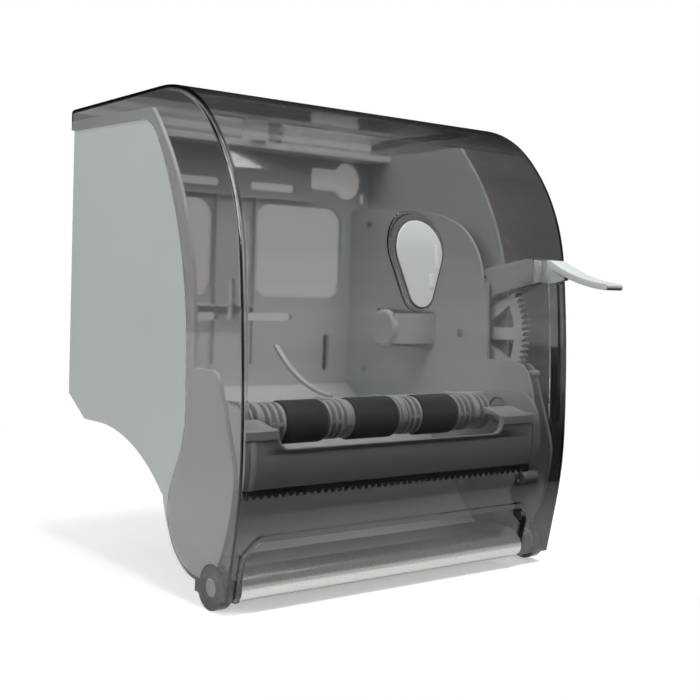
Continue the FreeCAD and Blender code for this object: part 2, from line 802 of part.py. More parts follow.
housing = new_body("rear_housing")
pad(housing, "back_panel", "XZ", 0, s.back_plate,
    box_loop(-housing_half, s.back_bottom, housing_half, s.housing_top))
for side_name, side in (("left", -housing_half), ("right", housing_inner)):
    pad(housing, f"side_{side_name}", "YZ", side, s.housing_wall, side_loop)
pad(housing, "floor_sheet", "YZ", -housing_inner, 2 * housing_inner,
    strip(floor_start, floor_corners, floor_inner_start, floor_inner))
for side_name, clear, lug in (("left", -half_width, -lug_face), ("right", lug_face, lug_face - s.housing_wall)):
    pocket(housing, f"boss_clearance_{side_name}", "YZ", clear, half_width - lug_face,
           Circle(hinge_y, hinge_z, s.hinge_boss_radius + 0.6))
    pad(housing, f"lug_{side_name}", "YZ", lug, s.housing_wall,
        Circle(hinge_y, hinge_z, s.hinge_lug_radius))
pad(housing, "top_flange", "YZ", -housing_inner, 2 * housing_inner,
    [(as_size(-1), s.flange_bottom), (as_size(-1), s.flange_bottom + 3),
     (3 - s.flange_reach, s.flange_bottom + 3), (3 - s.flange_reach, s.flange_bottom + 5.5),
     (-s.flange_reach, s.flange_bottom + 5.5), (-s.flange_reach, s.flange_bottom)])

# Stiffening ribs on the front of the back panel, and the pads that carry the screws
rib_depth = s.back_plate + 4
for name, left, bottom, right, top in (
        ("rib_under", -142.0, -50.0, 20.0, -48.0), ("rib_over", -142.0, 47.0, 80.0, 49.0),
        ("rib_left", -20.0, -100.0, -18.0, 47.0), ("rib_right", 18.0, -100.0, 20.0, 47.0)):
    pad(housing, name, "XZ", s.back_plate - 1, rib_depth - s.back_plate + 1,
        box_loop(left, bottom, right, top))
gear_posts = [(as_size(-30), as_size(30)), (as_size(-30), as_size(-104)),
              (as_size(-118), as_size(18)), (as_size(-228), as_size(-178))]
gear_cover_right = s.gear_cover_left + s.gear_cover_wall
pad(housing, "gear_cover_posts", "YZ", gear_cover_right, housing_inner - gear_cover_right + 1,
    *[Circle(y, z, 5) for y, z in gear_posts])
pocket(housing, "gear_cover_pilots", "YZ", gear_cover_right - 1, 13,
       *[Circle(y, z, s.screw_radius) for y, z in gear_posts])

# Windows of the back panel, the two vertical slots and the opening with a round end
panel_cut = s.back_plate + 6
pocket(housing, "windows", "XZ", -1, panel_cut, *[
    rounded_box(left, s.window_bottom, right, s.window_top, s.window_radius)
    for left, right in ((-s.window_outer, -s.window_inner), (s.window_inner, s.window_outer))])
slot_half, slot_rise = s.wall_slot_length / 2, s.wall_slot_width / 2
slot_centres = [(x, z) for x in (-s.wall_slot_spacing_x / 2, s.wall_slot_spacing_x / 2)
                for z in (-s.wall_slot_spacing_z / 2, s.wall_slot_spacing_z / 2)]
pocket(housing, "wall_slots", "XZ", -1, panel_cut, *[
    pill(x - slot_half, z - slot_rise, x + slot_half, z + slot_rise) for x, z in slot_centres])
pocket(housing, "hanging_slots", "XZ", -1, panel_cut,
       pill(-3, -62, 3, -25), pill(100.5, -109, 107.5, -74), pill(-107.5, -109, -100.5, -74))
pocket(housing, "cable_hole", "XZ", -1, panel_cut, Circle(s.cable_hole, 70, 17.5))
pocket(housing, "cable_arm", "XZ", -1, panel_cut, rounded_box(s.cable_hole - 42, 60, s.cable_hole + 1, 80, 3))
pocket(housing, "small_hole", "XZ", -1, panel_cut, pill(half_width - 17, 49, half_width - 10, 60))

# Lever pin boss, feed shaft bearing seat, hinge holes and spring lug on the walls
boss_face = s.gear_left + s.gear_width + 1
pad(housing, "lever_boss", "YZ", boss_face, housing_inner - boss_face + 1, Circle(pivot_y, pivot_z, 8))
pocket(housing, "lever_pin_hole", "YZ", s.gear_left, 30, Circle(pivot_y, pivot_z, s.pivot_pin_radius))
bush_seat = housing_half - s.bush_skin
pocket(housing, "bush_holes", "YZ", -bush_seat, 2 * bush_seat, Circle(feed_y, feed_z, s.bush_radius))
pocket(housing, "hinge_pin_holes", "YZ", -half_width, s.cover_width,
       Circle(hinge_y, hinge_z, s.hinge_pin_radius - 2))
pocket(housing, "pinch_slots", "YZ", -housing_inner - 1.5, 2 * housing_inner + 3,
       pill(-s.pinch_reach - s.pinch_slot_half - 2, s.pinch_height - s.pinch_slot_half,
            -s.pinch_reach + s.pinch_slot_half + 2, s.pinch_height + s.pinch_slot_half))
pad(housing, "spring_lug", "YZ", housing_inner - 8, 9, Circle(-s.spring_reach, s.spring_foot, 4))
pocket(housing, "nose_screw_holes", "XY", s.foot_height - 30, 60,
       *[Circle(x, -s.nose_screw_reach, s.screw_radius + 0.2) for x in nose_screw_places])
finished(housing)

# ---------------------------------------------------------------------------
# Hinge pins: stepped plugs, seated in the housing's lugs and turning in the cover's ears
# ---------------------------------------------------------------------------
for side_name, mirror in (("left", -1), ("right", 1)):
    pin = new_body(f"hinge_pin_{side_name}", 0, hinge_y, hinge_z)
    outer_face = mirror * (half_width - s.boss_skin - 0.1)
    shoulder = mirror * (lug_face + 0.05)
    inner_face = mirror * (lug_face - s.housing_wall + 0.1)
    turn_profile(pin, "pin_profile", [
        (outer_face, 0), (outer_face, s.hinge_pin_radius - 1), (outer_face - mirror, s.hinge_pin_radius),
        (shoulder, s.hinge_pin_radius), (shoulder, s.hinge_pin_radius - 2 - s.seated_gap),
        (inner_face, s.hinge_pin_radius - 2 - s.seated_gap), (inner_face, 0)])
    finished(pin)


def cap_screws(name, places, face, length):
    """Screws along +X: domed heads that rest on the face, with a slot for the driver."""
    screws = []
    for number, (y, z) in enumerate(places, start=1):
        screw = new_body(f"{name}_{number}", face - s.seated_gap, y, z)
        top = -s.screw_head_height
        shank = s.screw_radius - s.shank_gap
        turn_profile(screw, f"{name}_{number}_profile", [
            (top, 0), (top, s.screw_head_radius * 0.7), (top * 0.4, s.screw_head_radius),
            (0, s.screw_head_radius), (0, shank), (length, shank), (length, 0)])
        pocket(screw, f"{name}_{number}_drive", "YZ", top - 1, 1.9, box_loop(-0.5, -2, 0.5, 2))
        screws.append(screw)
    group(name, screws)


# ---------------------------------------------------------------------------
# Gear cover: the panel between the roll space and the gears
# ---------------------------------------------------------------------------
gear_cover = new_body("gear_cover")
gear_cover_loop = ([(-s.back_plate - 0.5, as_size(42)), (as_size(-67), as_size(42))]
                   + smooth_run((-67, 42), 180, [(250, 16), (60, 74)])
                   + [(-s.gear_rim_reach, -20), (-s.gear_rim_reach - 4, s.cheek_top + 2)]
                   + smooth_run((-s.gear_rim_reach - 4, s.cheek_top + 2), 180, [(28,), (20, 65), (60, 25), (120, 35)]))
panel_foot, panel_floor = floor_line(s.housing_wall + s.panel_gap, s.back_plate + 0.5)
pad(gear_cover, "panel", "YZ", s.gear_cover_left, s.gear_cover_wall, gear_cover_loop + [
    (as_size(-228), as_size(-222)), panel_foot] + panel_floor)
pocket(gear_cover, "hub_window", "YZ", s.gear_cover_left - 1, 5,
       rounded_box(-122, -81, -45, -48, 2))
pocket(gear_cover, "feed_shaft_hole", "YZ", s.gear_cover_left - 1, 5,
       Circle(feed_y, feed_z, s.bush_radius), Circle(pivot_y, pivot_z, s.pivot_pin_radius))
pocket(gear_cover, "gear_cover_holes", "YZ", s.gear_cover_left - 1, 5,
       *[Circle(y, z, s.screw_radius + 0.2) for y, z in gear_posts])
pocket(gear_cover, "gear_cover_pinch_slot", "YZ", s.gear_cover_left - 1, 5,
       pill(-s.pinch_reach - s.pinch_slot_half - 2, s.pinch_height - s.pinch_slot_half,
            -s.pinch_reach + s.pinch_slot_half + 2, s.pinch_height + s.pinch_slot_half))
finished(gear_cover)
cap_screws("gear_cover_screws", gear_posts, s.gear_cover_left, 12)

# ---------------------------------------------------------------------------
# Front chute: curved sheet in front of the feed roller, with an end plate on both sides
# ---------------------------------------------------------------------------
def chute_section(inset):
    start = (-s.chute_reach + inset * sine(4), s.chute_height - inset * cosine(4))
    return start, smooth_run(start, 184, [(10,), (24 - inset, 72), (70 - inset, 30)])


chute = new_body("front_chute")
chute_start, chute_outer = chute_section(as_size(0))
chute_inner_start, chute_inner = chute_section(s.chute_wall)
chute_span = s.chute_left + s.chute_right
chute_back = -s.pinch_reach - 6.5
chute_cut = s.chute_reach - 26
pad(chute, "chute_sheet", "YZ", -s.chute_left, chute_span,
    strip(chute_start, chute_outer, chute_inner_start, chute_inner))


def roller_opening(grow):
    """The outline that shows the feed roller, open at the top, larger by a width on three sides."""
    left, right, bottom = -s.chute_open_left - grow, s.chute_open_right + grow, s.chute_open_bottom - grow
    bend = s.chute_open_bend + grow
    top = s.chute_height + 5
    return [(left, top), (left, bottom + bend), (left + bend, bottom, bend), (right - bend, bottom),
            (right, bottom + bend, bend), (right, top)]


rim_outer_start, rim_outer = chute_section(-s.chute_rim_height)
rim_inner_start, rim_inner = chute_section(as_size(0.5))
rim_loop = strip(rim_outer_start, rim_outer, rim_inner_start, rim_inner)
rim_left, rim_right = -s.chute_open_left - s.chute_rim - 1, s.chute_open_right + s.chute_rim + 1
chute_rim = new_body("chute_rim")
pad(chute_rim, "rim_sheet", "YZ", rim_left, rim_right - rim_left, rim_loop)
pocket(chute_rim, "rim_trim", "XZ", chute_cut, 80,
       box_loop(rim_left - 1, s.chute_open_bottom - 60, rim_right + 1, s.chute_height + 30),
       roller_opening(s.chute_rim))
join(chute, "chute_with_rim", "Fuse", [chute_rim])
for side_name, left in (("left", -s.chute_left), ("right", s.chute_right - s.chute_border)):
    pad(chute, f"border_{side_name}", "YZ", left, s.chute_border, rim_loop)
pocket(chute, "roller_opening", "XZ", chute_cut, 80, roller_opening(0))
for side_name, side in (("left", -s.chute_left), ("right", s.chute_right - s.chute_wall)):
    pad(chute, f"end_{side_name}", "YZ", side, s.chute_wall,
        [(chute_back, as_size(-109)), chute_start] + chute_outer
        + [(as_size(-232), as_size(-163)), (as_size(-226), as_size(-146)), (chute_back, as_size(-146))])
for name, left, right in (("ledge_left", -s.chute_left, -s.chute_open_left - 2),
                          ("ledge_right", s.chute_open_right + 2, s.chute_right - 9)):
    pad(chute, name, "YZ", left, right - left,
        [(as_size(-226), as_size(-122)), (as_size(-226), as_size(-119)), (as_size(-250), as_size(-124)),
         (as_size(-250), as_size(-130)), (as_size(-247), as_size(-130)), (as_size(-247), as_size(-126.5))])
pocket(chute, "chute_journal_holes", "YZ", -s.chute_left - 1, chute_span + 2,
       Circle(feed_y, feed_z, s.bush_radius + 3.5))
pocket(chute, "chute_pinch_slots", "YZ", -s.chute_left - 1, chute_span + 2,
       rounded_box(-s.pinch_reach - 8, s.pinch_height - 7, -s.pinch_reach + 12, s.pinch_height + 7, 2))
finished(chute)

# ---------------------------------------------------------------------------
# Nose bar: rounded hollow bar that fills the lower part of the paper mouth
# ---------------------------------------------------------------------------
nose_bar = new_body("nose_bar")
nose_left, nose_right = -s.mouth_left + 0.4, s.mouth_right - 0.4
nose_under = (-s.nose_reach + 10, s.nose_bottom)
pad(nose_bar, "nose_block", "YZ", nose_left, nose_right - nose_left,
    [(-s.nose_back_reach, s.foot_height + s.housing_wall + 0.05),
     (-s.hinge_reach + 3, s.foot_height + s.housing_wall + 0.05),
     (-s.hinge_reach + 3, s.nose_bottom), nose_under]
    + smooth_run(nose_under, 180, [(-9, -75), (-10, -75), (8,)])
    + [(-s.nose_back_reach, s.nose_bottom + 23.3)])
pocket(nose_bar, "lug_clearance", "YZ", nose_left - 1, s.housing_wall + 1.2,
       Circle(hinge_y, hinge_z, s.hinge_lug_radius + 0.4))
pocket(nose_bar, "nose_hollow", "YZ", nose_left - 1, nose_right - nose_left + 2,
       rounded_box(-s.nose_reach + 5.5, s.nose_bottom + 3, -s.hinge_reach + 1, s.nose_bottom + 15, 4))
pad(nose_bar, "nose_bracket", "YZ", nose_right, s.chute_wall,
    [(as_size(-212), s.nose_bottom + 14), (as_size(-241), s.nose_bottom + 14),
     (as_size(-243), s.nose_bottom + 26), (as_size(-226), s.nose_bottom + 38),
     (as_size(-212), s.nose_bottom + 24)])
pocket(nose_bar, "nose_pilots", "XY", s.foot_height, 12,
       *[Circle(x, -s.nose_screw_reach, s.screw_radius) for x in nose_screw_places])
finished(nose_bar)

# ---------------------------------------------------------------------------
# Tear blade on its bar, behind the chute's lower edge
# ---------------------------------------------------------------------------
bar_left, bar_right = -s.chute_left + s.chute_wall + 0.2, s.chute_right - s.chute_wall - 0.2
blade_bar = new_body("blade_bar")
pad(blade_bar, "bar", "YZ", bar_left, bar_right - bar_left,
    [(-s.blade_reach, s.blade_top), (-s.blade_reach, s.blade_bar_bottom),
     (2 - s.blade_reach, s.blade_bar_bottom - 2), (7 - s.blade_reach, s.blade_bar_bottom - 2),
     (7 - s.blade_reach, s.blade_top)])
blade_screw_step = (bar_right - bar_left - 38.5) / 4
blade_screw_places = [bar_left + 26.5 + number * blade_screw_step for number in range(5)]
pocket(blade_bar, "blade_pilots", "XZ", s.blade_reach - 9, 10,
       *[Circle(x, s.blade_top - 5, s.screw_radius) for x in blade_screw_places])
finished(blade_bar)

tear_blade = new_body("tear_blade")
pad(tear_blade, "blade", "XZ", s.blade_reach + 0.02, s.blade_wall,
    box_loop(bar_left + 2, s.blade_bar_bottom - 7, bar_right - 2, s.blade_top))
pocket(tear_blade, "blade_holes", "XZ", s.blade_reach - 1, 4,
       *[Circle(x, s.blade_top - 5, s.screw_radius + 0.2) for x in blade_screw_places])
notch = pocket(tear_blade, "blade_notch", "XZ", s.blade_reach - 1, 4,
               [(bar_left + 2, s.blade_bar_bottom - 8), (bar_left + 2 + s.tooth_pitch, s.blade_bar_bottom - 8),
                (bar_left + 2 + s.tooth_pitch / 2, s.blade_bar_bottom - 7 + s.tooth_depth)])
tooth_count = int(((bar_right - bar_left - 4) / s.tooth_pitch).value)
linear_pattern(tear_blade, "blade_teeth", notch, s.tooth_pitch * (tooth_count - 1), tooth_count)
finished(tear_blade)

blade_screws = []
for number, x in enumerate(blade_screw_places, start=1):
    screw = along(f"blade_screw_{number}", "y", s.screw_radius - s.shank_gap, 7, x,
                  -s.blade_reach - s.blade_wall - 0.6, s.blade_top - 5)
    head = along(f"blade_screw_head_{number}", "y", s.screw_head_radius, 1.2, x,
                 -s.blade_reach - s.blade_wall - 1.25, s.blade_top - 5)
    blade_screws += [fused(f"blade_screw_whole_{number}", [screw, head])]
group("blade_screws", blade_screws)

# ---------------------------------------------------------------------------
# Lock keeper: saddle over the edge of the housing's top flange
# ---------------------------------------------------------------------------
keeper = new_body("lock_keeper")
pad(keeper, "keeper_front", "XZ", s.flange_reach + 0.05, 3,
    box_loop(-s.keeper_half, s.flange_bottom, s.keeper_half, s.keeper_top))
pad(keeper, "keeper_saddle", "XZ", s.flange_reach - 4.5, 4.6,
    box_loop(-s.keeper_half, s.flange_bottom + 5.6, s.keeper_half, s.keeper_top))
pocket(keeper, "keeper_arch", "XZ", s.flange_reach - 6, 12,
       rounded_box(-s.keeper_half + 3.5, s.flange_bottom - 3, s.keeper_half - 3.5, s.keeper_top - 3, 3))
finished(keeper)

# ---------------------------------------------------------------------------
# Paper stripping fingers: a bar behind the feed roller with four curved fingers over it
# ---------------------------------------------------------------------------
def around_feed(radius, angle):
    return feed_y + radius * cosine(angle), feed_z + radius * sine(angle)


strippers = new_body("stripper_fingers")
pad(strippers, "stripper_bar", "YZ", bar_left - s.chute_wall, bar_right - bar_left + 2 * s.chute_wall,
    rounded_box(-187, -119, -180, -112, 1))
finger_outer, finger_inner = s.core_ring_radius + 0.6, s.core_root_radius + 2.2
finger_loop = [(as_size(-181), as_size(-113)), (as_size(-181), as_size(-111)),
               around_feed(finger_outer, 75), around_feed(finger_outer, 140) + (finger_outer,),
               around_feed(finger_outer, 190) + (finger_outer,), around_feed(finger_inner, 218),
               around_feed(finger_inner, 150) + (-finger_inner,),
               around_feed(finger_inner, 70) + (-finger_inner,), (as_size(-187), as_size(-114))]
finger_centres = [paper_centre + side * spot for side in (-1, 1)
                  for spot in (s.finger_inner_spot, sleeve_end + core_free * 0.565)]
for number, centre in enumerate(finger_centres, start=1):
    pad(strippers, f"finger_{number}", "YZ", centre - s.finger_width / 2, s.finger_width, finger_loop)
finished(strippers)

# Curved guide that keeps the paper off the floor sheet
guide_start = (as_size(-184), as_size(-109.6))
guide_outer = smooth_run(guide_start, 4, [(110, 42)])
guide_inner_start = (as_size(-184), as_size(-111.9))
guide_inner = smooth_run(guide_inner_start, 4, [(112.3, 42)])
guide = new_body("paper_guide")
pad(guide, "guide_rib", "YZ", paper_centre - 19, 4, strip(guide_start, guide_outer, guide_inner_start, guide_inner))
finished(guide)

# ---------------------------------------------------------------------------
# Roll hubs: a fixed one on the gear cover and a spring-loaded one on the left wall
# ---------------------------------------------------------------------------
right_hub = new_body("right_roll_hub", 0, -s.roll_reach, s.roll_height)
hub_foot = s.gear_cover_left - 0.05
pad(right_hub, "hub_tongue", "XY", -13, 26, [
    (s.right_hub_face + 2, as_size(-14)), (hub_foot, as_size(-14)), (hub_foot, as_size(-11)),
    (s.right_hub_face + 5, as_size(-11)), (s.right_hub_face + 5, as_size(8)),
    (hub_foot, as_size(52)), (hub_foot, as_size(56)), (hub_foot - 3, as_size(56)),
    (s.right_hub_face + 2, as_size(10))])
pocket(right_hub, "hub_tongue_slot", "XZ", -70, 65, pill(s.right_hub_face + 14, -9, s.right_hub_face + 34, 7))
turn_profile(right_hub, "hub_disc", [
    (s.right_hub_face, as_size(0)), (s.right_hub_face, s.hub_radius - 2),
    (s.right_hub_face + 2, s.hub_radius), (s.right_hub_face + 4.5, s.hub_radius),
    (s.right_hub_face + 4.5, as_size(0))])
for name, low in (("hub_foot_front", -17.5), ("hub_foot_back", 50)):
    pad(right_hub, name, "YZ", hub_foot - 2.5, 2.5, box_loop(low, -13, low + 8, 13))
finished(right_hub)

left_wall = -housing_inner
hub_guide = new_body("hub_guide", 0, -s.roll_reach, s.roll_height)
guide_tip = left_wall + s.hub_guide_length
turn_profile(hub_guide, "guide_profile", [
    (left_wall + 0.05, s.hub_stem_radius + 0.08), (left_wall + 0.05, s.hub_radius + 6),
    (left_wall + 3, s.hub_radius + 6), (left_wall + 4, s.hub_stem_radius + 4),
    (guide_tip, s.hub_stem_radius + 3), (guide_tip, s.hub_stem_radius + 0.08)])
finished(hub_guide)

left_hub = new_body("left_roll_hub", 0, -s.roll_reach, s.roll_height)
stem_end = -s.left_hub_face - s.hub_stem_length
turn_profile(left_hub, "left_hub_profile", [
    (-s.left_hub_face, as_size(0)), (-s.left_hub_face, s.hub_radius - 2), (-s.left_hub_face - 2, s.hub_radius),
    (-s.left_hub_face - 4.5, s.hub_radius), (-s.left_hub_face - 4.5, s.hub_stem_radius),
    (stem_end, s.hub_stem_radius), (stem_end, s.hub_stem_radius - 3),
    (-s.left_hub_face - 7, s.hub_stem_radius - 3), (-s.left_hub_face - 7, as_size(0))])
finished(left_hub)
coil("hub_spring", "x", s.hub_stem_radius - 1.6, 0.6, s.hub_spring_length, 3,
     left_wall + 0.3, -s.roll_reach, s.roll_height)

# ---------------------------------------------------------------------------
# Feed roller
# ---------------------------------------------------------------------------
def feed_body(name):
    return new_body(name, paper_centre, feed_y, feed_z)


core = feed_body("feed_core")
core_profile = [(-core_half, s.feed_shaft_radius + s.seated_gap), (-core_half, s.core_ring_radius - 3)]
ring_half = s.core_ring_width / 2
outer_spots = [sleeve_end + core_free * share for share in (0.08, 0.23, 0.38, 0.75, 0.9)]
ring_spots = [as_size(spot) for spot in (22.5, 32.0, 37.7, 43.5)] + outer_spots
for spot in [-spot for spot in reversed(ring_spots)] + ring_spots:
    core_profile += [(spot - ring_half, s.core_root_radius), (spot - ring_half, s.core_ring_radius),
                     (spot + ring_half, s.core_ring_radius), (spot + ring_half, s.core_root_radius)]
core_profile += [(core_half, s.core_ring_radius - 3), (core_half, s.feed_shaft_radius + s.seated_gap)]
turn_profile(core, "core_profile", core_profile)
web = pad(core, "core_web", "XY", s.core_root_radius - 1, s.core_ring_radius - s.core_root_radius, *[
    box_loop(left if side > 0 else -right, -1.2, right if side > 0 else -left, 1.2)
    for side in (-1, 1) for left, right in ((ring_spots[1], ring_spots[3]), (ring_spots[4], ring_spots[6]),
                                            (ring_spots[7], ring_spots[8]))])
polar_pattern(core, "core_webs", web, 360, 4)
finished(core)

for name, spot, length in (("grip_sleeve_left", -s.sleeve_pitch, s.side_sleeve_length),
                           ("grip_sleeve_middle", as_size(0), s.middle_sleeve_length),
                           ("grip_sleeve_right", s.sleeve_pitch, s.side_sleeve_length)):
    sleeve = feed_body(name)
    low, high = spot - length / 2, spot + length / 2
    turn_profile(sleeve, name + "_profile", [
        (low, s.core_root_radius + s.seated_gap), (low, s.sleeve_radius - 0.6), (low + 0.6, s.sleeve_radius),
        (high - 0.6, s.sleeve_radius), (high, s.sleeve_radius - 0.6),
        (high, s.core_root_radius + s.seated_gap)])
    finished(sleeve)

shaft_end = bush_seat - 0.1
finished(along("feed_shaft", "x", s.feed_shaft_radius, 2 * shaft_end, -shaft_end, feed_y, feed_z))

# ---------------------------------------------------------------------------
# Gears: toothed sector on the lever and pinion on the feed shaft
# ---------------------------------------------------------------------------
def half_tooth(teeth, radius):
    """Half the angle of an involute tooth at a radius, with the backlash taken off."""
    pitch_radius = s.gear_module * teeth / 2
    base = pitch_radius * cosine(20)
    lean = arc_cosine(base / radius) if radius.value > base.value else as_size(0)
    at_pitch = tangent(20) * (180 / math.pi) - 20
    at_radius = tangent(lean) * (180 / math.pi) - lean
    return 90 / teeth + at_pitch - at_radius - s.backlash_angle * 40 / teeth


def tooth_loop(teeth, middle):
    """One tooth around the body's X axis, with its middle at an angle from +Y."""
    pitch_radius = s.gear_module * teeth / 2
    foot, tip = pitch_radius - s.gear_module * 1.25, pitch_radius + s.gear_module
    steps = [(foot - 0.5, half_tooth(teeth, foot)), (foot, half_tooth(teeth, foot)),
             (pitch_radius, half_tooth(teeth, pitch_radius)), (tip, half_tooth(teeth, tip))]
    low = [(r * cosine(middle - half), r * sine(middle - half)) for r, half in steps]
    high = [(r * cosine(middle + half), r * sine(middle + half)) for r, half in reversed(steps)]
    return low + high


def ray(radius, angle):
    return radius * cosine(angle), radius * sine(angle)


sector = new_body("sector_gear", 0, pivot_y, pivot_z)
sector_foot = s.gear_module * (s.sector_teeth / 2 - 1.25)
tooth_step = 360 / s.sector_teeth
sector_first = s.mesh_angle + 180 - 20 * tooth_step
sector_last = sector_first + 22 * tooth_step
sector_middle = (sector_first + sector_last) / 2
pad(sector, "sector_plate", "YZ", s.gear_left, s.gear_width, [
    ray(sector_foot, sector_first - 1.2), ray(sector_foot, sector_middle) + (sector_foot,),
    ray(sector_foot, sector_last + 1.2) + (sector_foot,),
    ray(11, sector_last + 50), ray(11, sector_first - 50)])
pocket(sector, "sector_windows", "YZ", s.gear_left - 1, s.gear_width + 2, *[
    [ray(24, start + 7), ray(sector_foot - 9, start), ray(sector_foot - 9, start + 20) + (sector_foot - 9,),
     ray(24, start + 13)] for start in (sector_first + 5, sector_first + 36, sector_first + 67)])
tooth = pad(sector, "sector_tooth", "YZ", s.gear_left, s.gear_width,
            tooth_loop(s.sector_teeth, sector_first))
polar_pattern(sector, "sector_teeth", tooth, 22 * tooth_step, 23)
pad(sector, "sector_hub", "YZ", s.gear_cover_left + s.gear_cover_wall + 0.3,
    s.gear_left + s.gear_width - s.gear_cover_left - s.gear_cover_wall + 0.2, Circle(0, 0, 11))
pad(sector, "sector_tail", "YZ", s.gear_left, 3, [
    (as_size(4), as_size(-10)), (as_size(31), as_size(-9)), (as_size(31), as_size(-1)), (as_size(4), as_size(10))])
pad(sector, "tail_pin", "YZ", s.gear_left, 10, Circle(27.3, s.tail_pin_height, s.tail_pin_radius))
lever_screw_spots = [(18 * cosine(angle), 18 * sine(angle)) for angle in (130, 200)]
pocket(sector, "sector_pilots", "YZ", s.gear_left - 1, s.gear_width + 2,
       *[Circle(y, z, s.screw_radius) for y, z in lever_screw_spots])
pocket(sector, "sector_bore", "YZ", s.gear_cover_left, 30, Circle(0, 0, s.pivot_pin_radius + s.running_gap))
finished(sector)

pinion = new_body("drive_pinion", 0, feed_y, feed_z)
pinion_foot = s.gear_module * (s.pinion_teeth / 2 - 1.25)
pad(pinion, "pinion_disc", "YZ", s.gear_left, s.gear_width, Circle(0, 0, pinion_foot))
pinion_tooth = pad(pinion, "pinion_tooth", "YZ", s.gear_left, s.gear_width,
                   tooth_loop(s.pinion_teeth, s.mesh_angle + 180 / s.pinion_teeth))
polar_pattern(pinion, "pinion_ring", pinion_tooth, 360, 18)
pocket(pinion, "pinion_bore", "YZ", s.gear_left - 1, s.gear_width + 2,
       Circle(0, 0, s.clutch_radius + s.seated_gap))
finished(pinion)
clutch = new_body("one_way_clutch", 0, feed_y, feed_z)
turn_profile(clutch, "clutch_profile", [
    (s.gear_left - 2, s.feed_shaft_radius + s.seated_gap), (s.gear_left - 2, s.clutch_radius),
    (s.gear_left + s.gear_width, s.clutch_radius),
    (s.gear_left + s.gear_width, s.feed_shaft_radius + s.seated_gap)])
finished(clutch)

# ---------------------------------------------------------------------------
# Lever: arm plate on the sector's hub, thin neck through the cover's slot, curved paddle outside
# ---------------------------------------------------------------------------
lever = new_body("lever_arm")
pad(lever, "arm_plate", "YZ", s.arm_left, s.arm_plate, [
    (-146, -77), (-141, -65), (-151, -50), (-166.5, -14.5), (-171, -11), (-222, -1.5),
    (-238, -3), (-239, -19.5), (-190, -30.5), (-184, -36), (-170, -68)])
pad(lever, "arm_ring", "YZ", s.arm_left, s.arm_plate, Circle(pivot_y, pivot_z, 15))
pad(lever, "arm_block", "YZ", s.arm_left, s.neck_right - s.arm_left,
    [(-212, -3.4), (-222, -1.5), (-238, -3), (-239, -19.5), (-228, -22)])
paddle_start = (as_size(-250), s.paddle_height)
paddle_top = smooth_run(paddle_start, 184, [(12, 24), (-138, -23), (3,)])
paddle_under_start = (as_size(-250), s.paddle_height - s.paddle_wall)
paddle_under = smooth_run(paddle_under_start, 184, [
    (12 - s.paddle_wall, 24), (-138 - s.paddle_wall, -23), (3,)])
neck_left = s.neck_right - s.neck_width
pad(lever, "neck", "YZ", neck_left, s.neck_width,
    [(-230, -2.6), paddle_start, (-262, -10), (-262, -17.5), (-252, -20), (-230, -20.5)])
pad(lever, "paddle", "YZ", s.paddle_left, s.paddle_right - s.paddle_left,
    strip(paddle_start, paddle_top, paddle_under_start, paddle_under))
pocket(lever, "arm_bore", "YZ", s.arm_left - 1, s.arm_plate + 2, Circle(pivot_y, pivot_z, 11 + s.seated_gap))
lever_screw_places = [(pivot_y + y, pivot_z + z) for y, z in lever_screw_spots]
pocket(lever, "arm_screw_holes", "YZ", s.arm_left - 1, s.arm_plate + 2,
       *[Circle(y, z, s.screw_radius + 0.2) for y, z in lever_screw_places])
pocket(lever, "arm_hole", "YZ", s.arm_left - 1, s.arm_plate + 2, Circle(-177, -17, 1.8))
round_edges(lever, "paddle_tip", s.paddle_wall * 0.45, lambda edge: (
    edge.BoundBox.YMax < -300 and edge.BoundBox.XLength > 10))
finished(lever)
cap_screws("lever_screws", lever_screw_places, s.arm_left, 8)

finished(along("lever_pivot_pin", "x", s.pivot_pin_radius - s.seated_gap, housing_half - 0.3 - s.gear_cover_left,
               s.gear_cover_left, pivot_y, pivot_z))

# ---------------------------------------------------------------------------
# Bearings of the feed shaft
# ---------------------------------------------------------------------------
bushes = []
for number, (face, flange) in enumerate(((0.05 - bush_seat, 0.05 - housing_inner),
                                         (bush_seat - 0.05, housing_inner - 0.05),
                                         (gear_cover_right - 0.05, s.gear_cover_left - 0.05)), start=1):
    bush = new_body(f"feed_bush_{number}", 0, feed_y, feed_z)
    inward = 1.6 if number == 1 else -1.6
    bore, seat = s.feed_shaft_radius + s.running_gap, s.bush_radius - s.seated_gap
    turn_profile(bush, f"feed_bush_profile_{number}", [
        (face, bore), (face, seat), (flange, seat), (flange, s.bush_radius + 2.2),
        (flange + inward, s.bush_radius + 2.2), (flange + inward, bore)])
    bushes.append(bush)
group("feed_bushes", bushes)

# ---------------------------------------------------------------------------
# Pinch roller: shaft with three tyres, pressed against the feed roller from behind
# ---------------------------------------------------------------------------
pinch_y, pinch_z = -s.pinch_reach, s.pinch_height
pinch_left, pinch_right = -housing_inner - 0.9, gear_cover_right + 3
finished(along("pinch_shaft", "x", s.pinch_shaft_radius, pinch_right - pinch_left, pinch_left, pinch_y, pinch_z))
tyres = []
for number, spot in enumerate((-s.sleeve_pitch, as_size(0), s.sleeve_pitch), start=1):
    tyre = new_body(f"pinch_tyre_{number}", paper_centre + spot, pinch_y, pinch_z)
    half = s.pinch_tyre_length / 2
    turn_profile(tyre, f"pinch_tyre_profile_{number}", [
        (-half, s.pinch_shaft_radius + s.seated_gap), (-half, s.pinch_radius - 0.8),
        (-half + 0.8, s.pinch_radius), (half - 0.8, s.pinch_radius), (half, s.pinch_radius - 0.8),
        (half, s.pinch_shaft_radius + s.seated_gap)])
    tyres.append(tyre)
group("pinch_tyres", tyres)
blocks = []
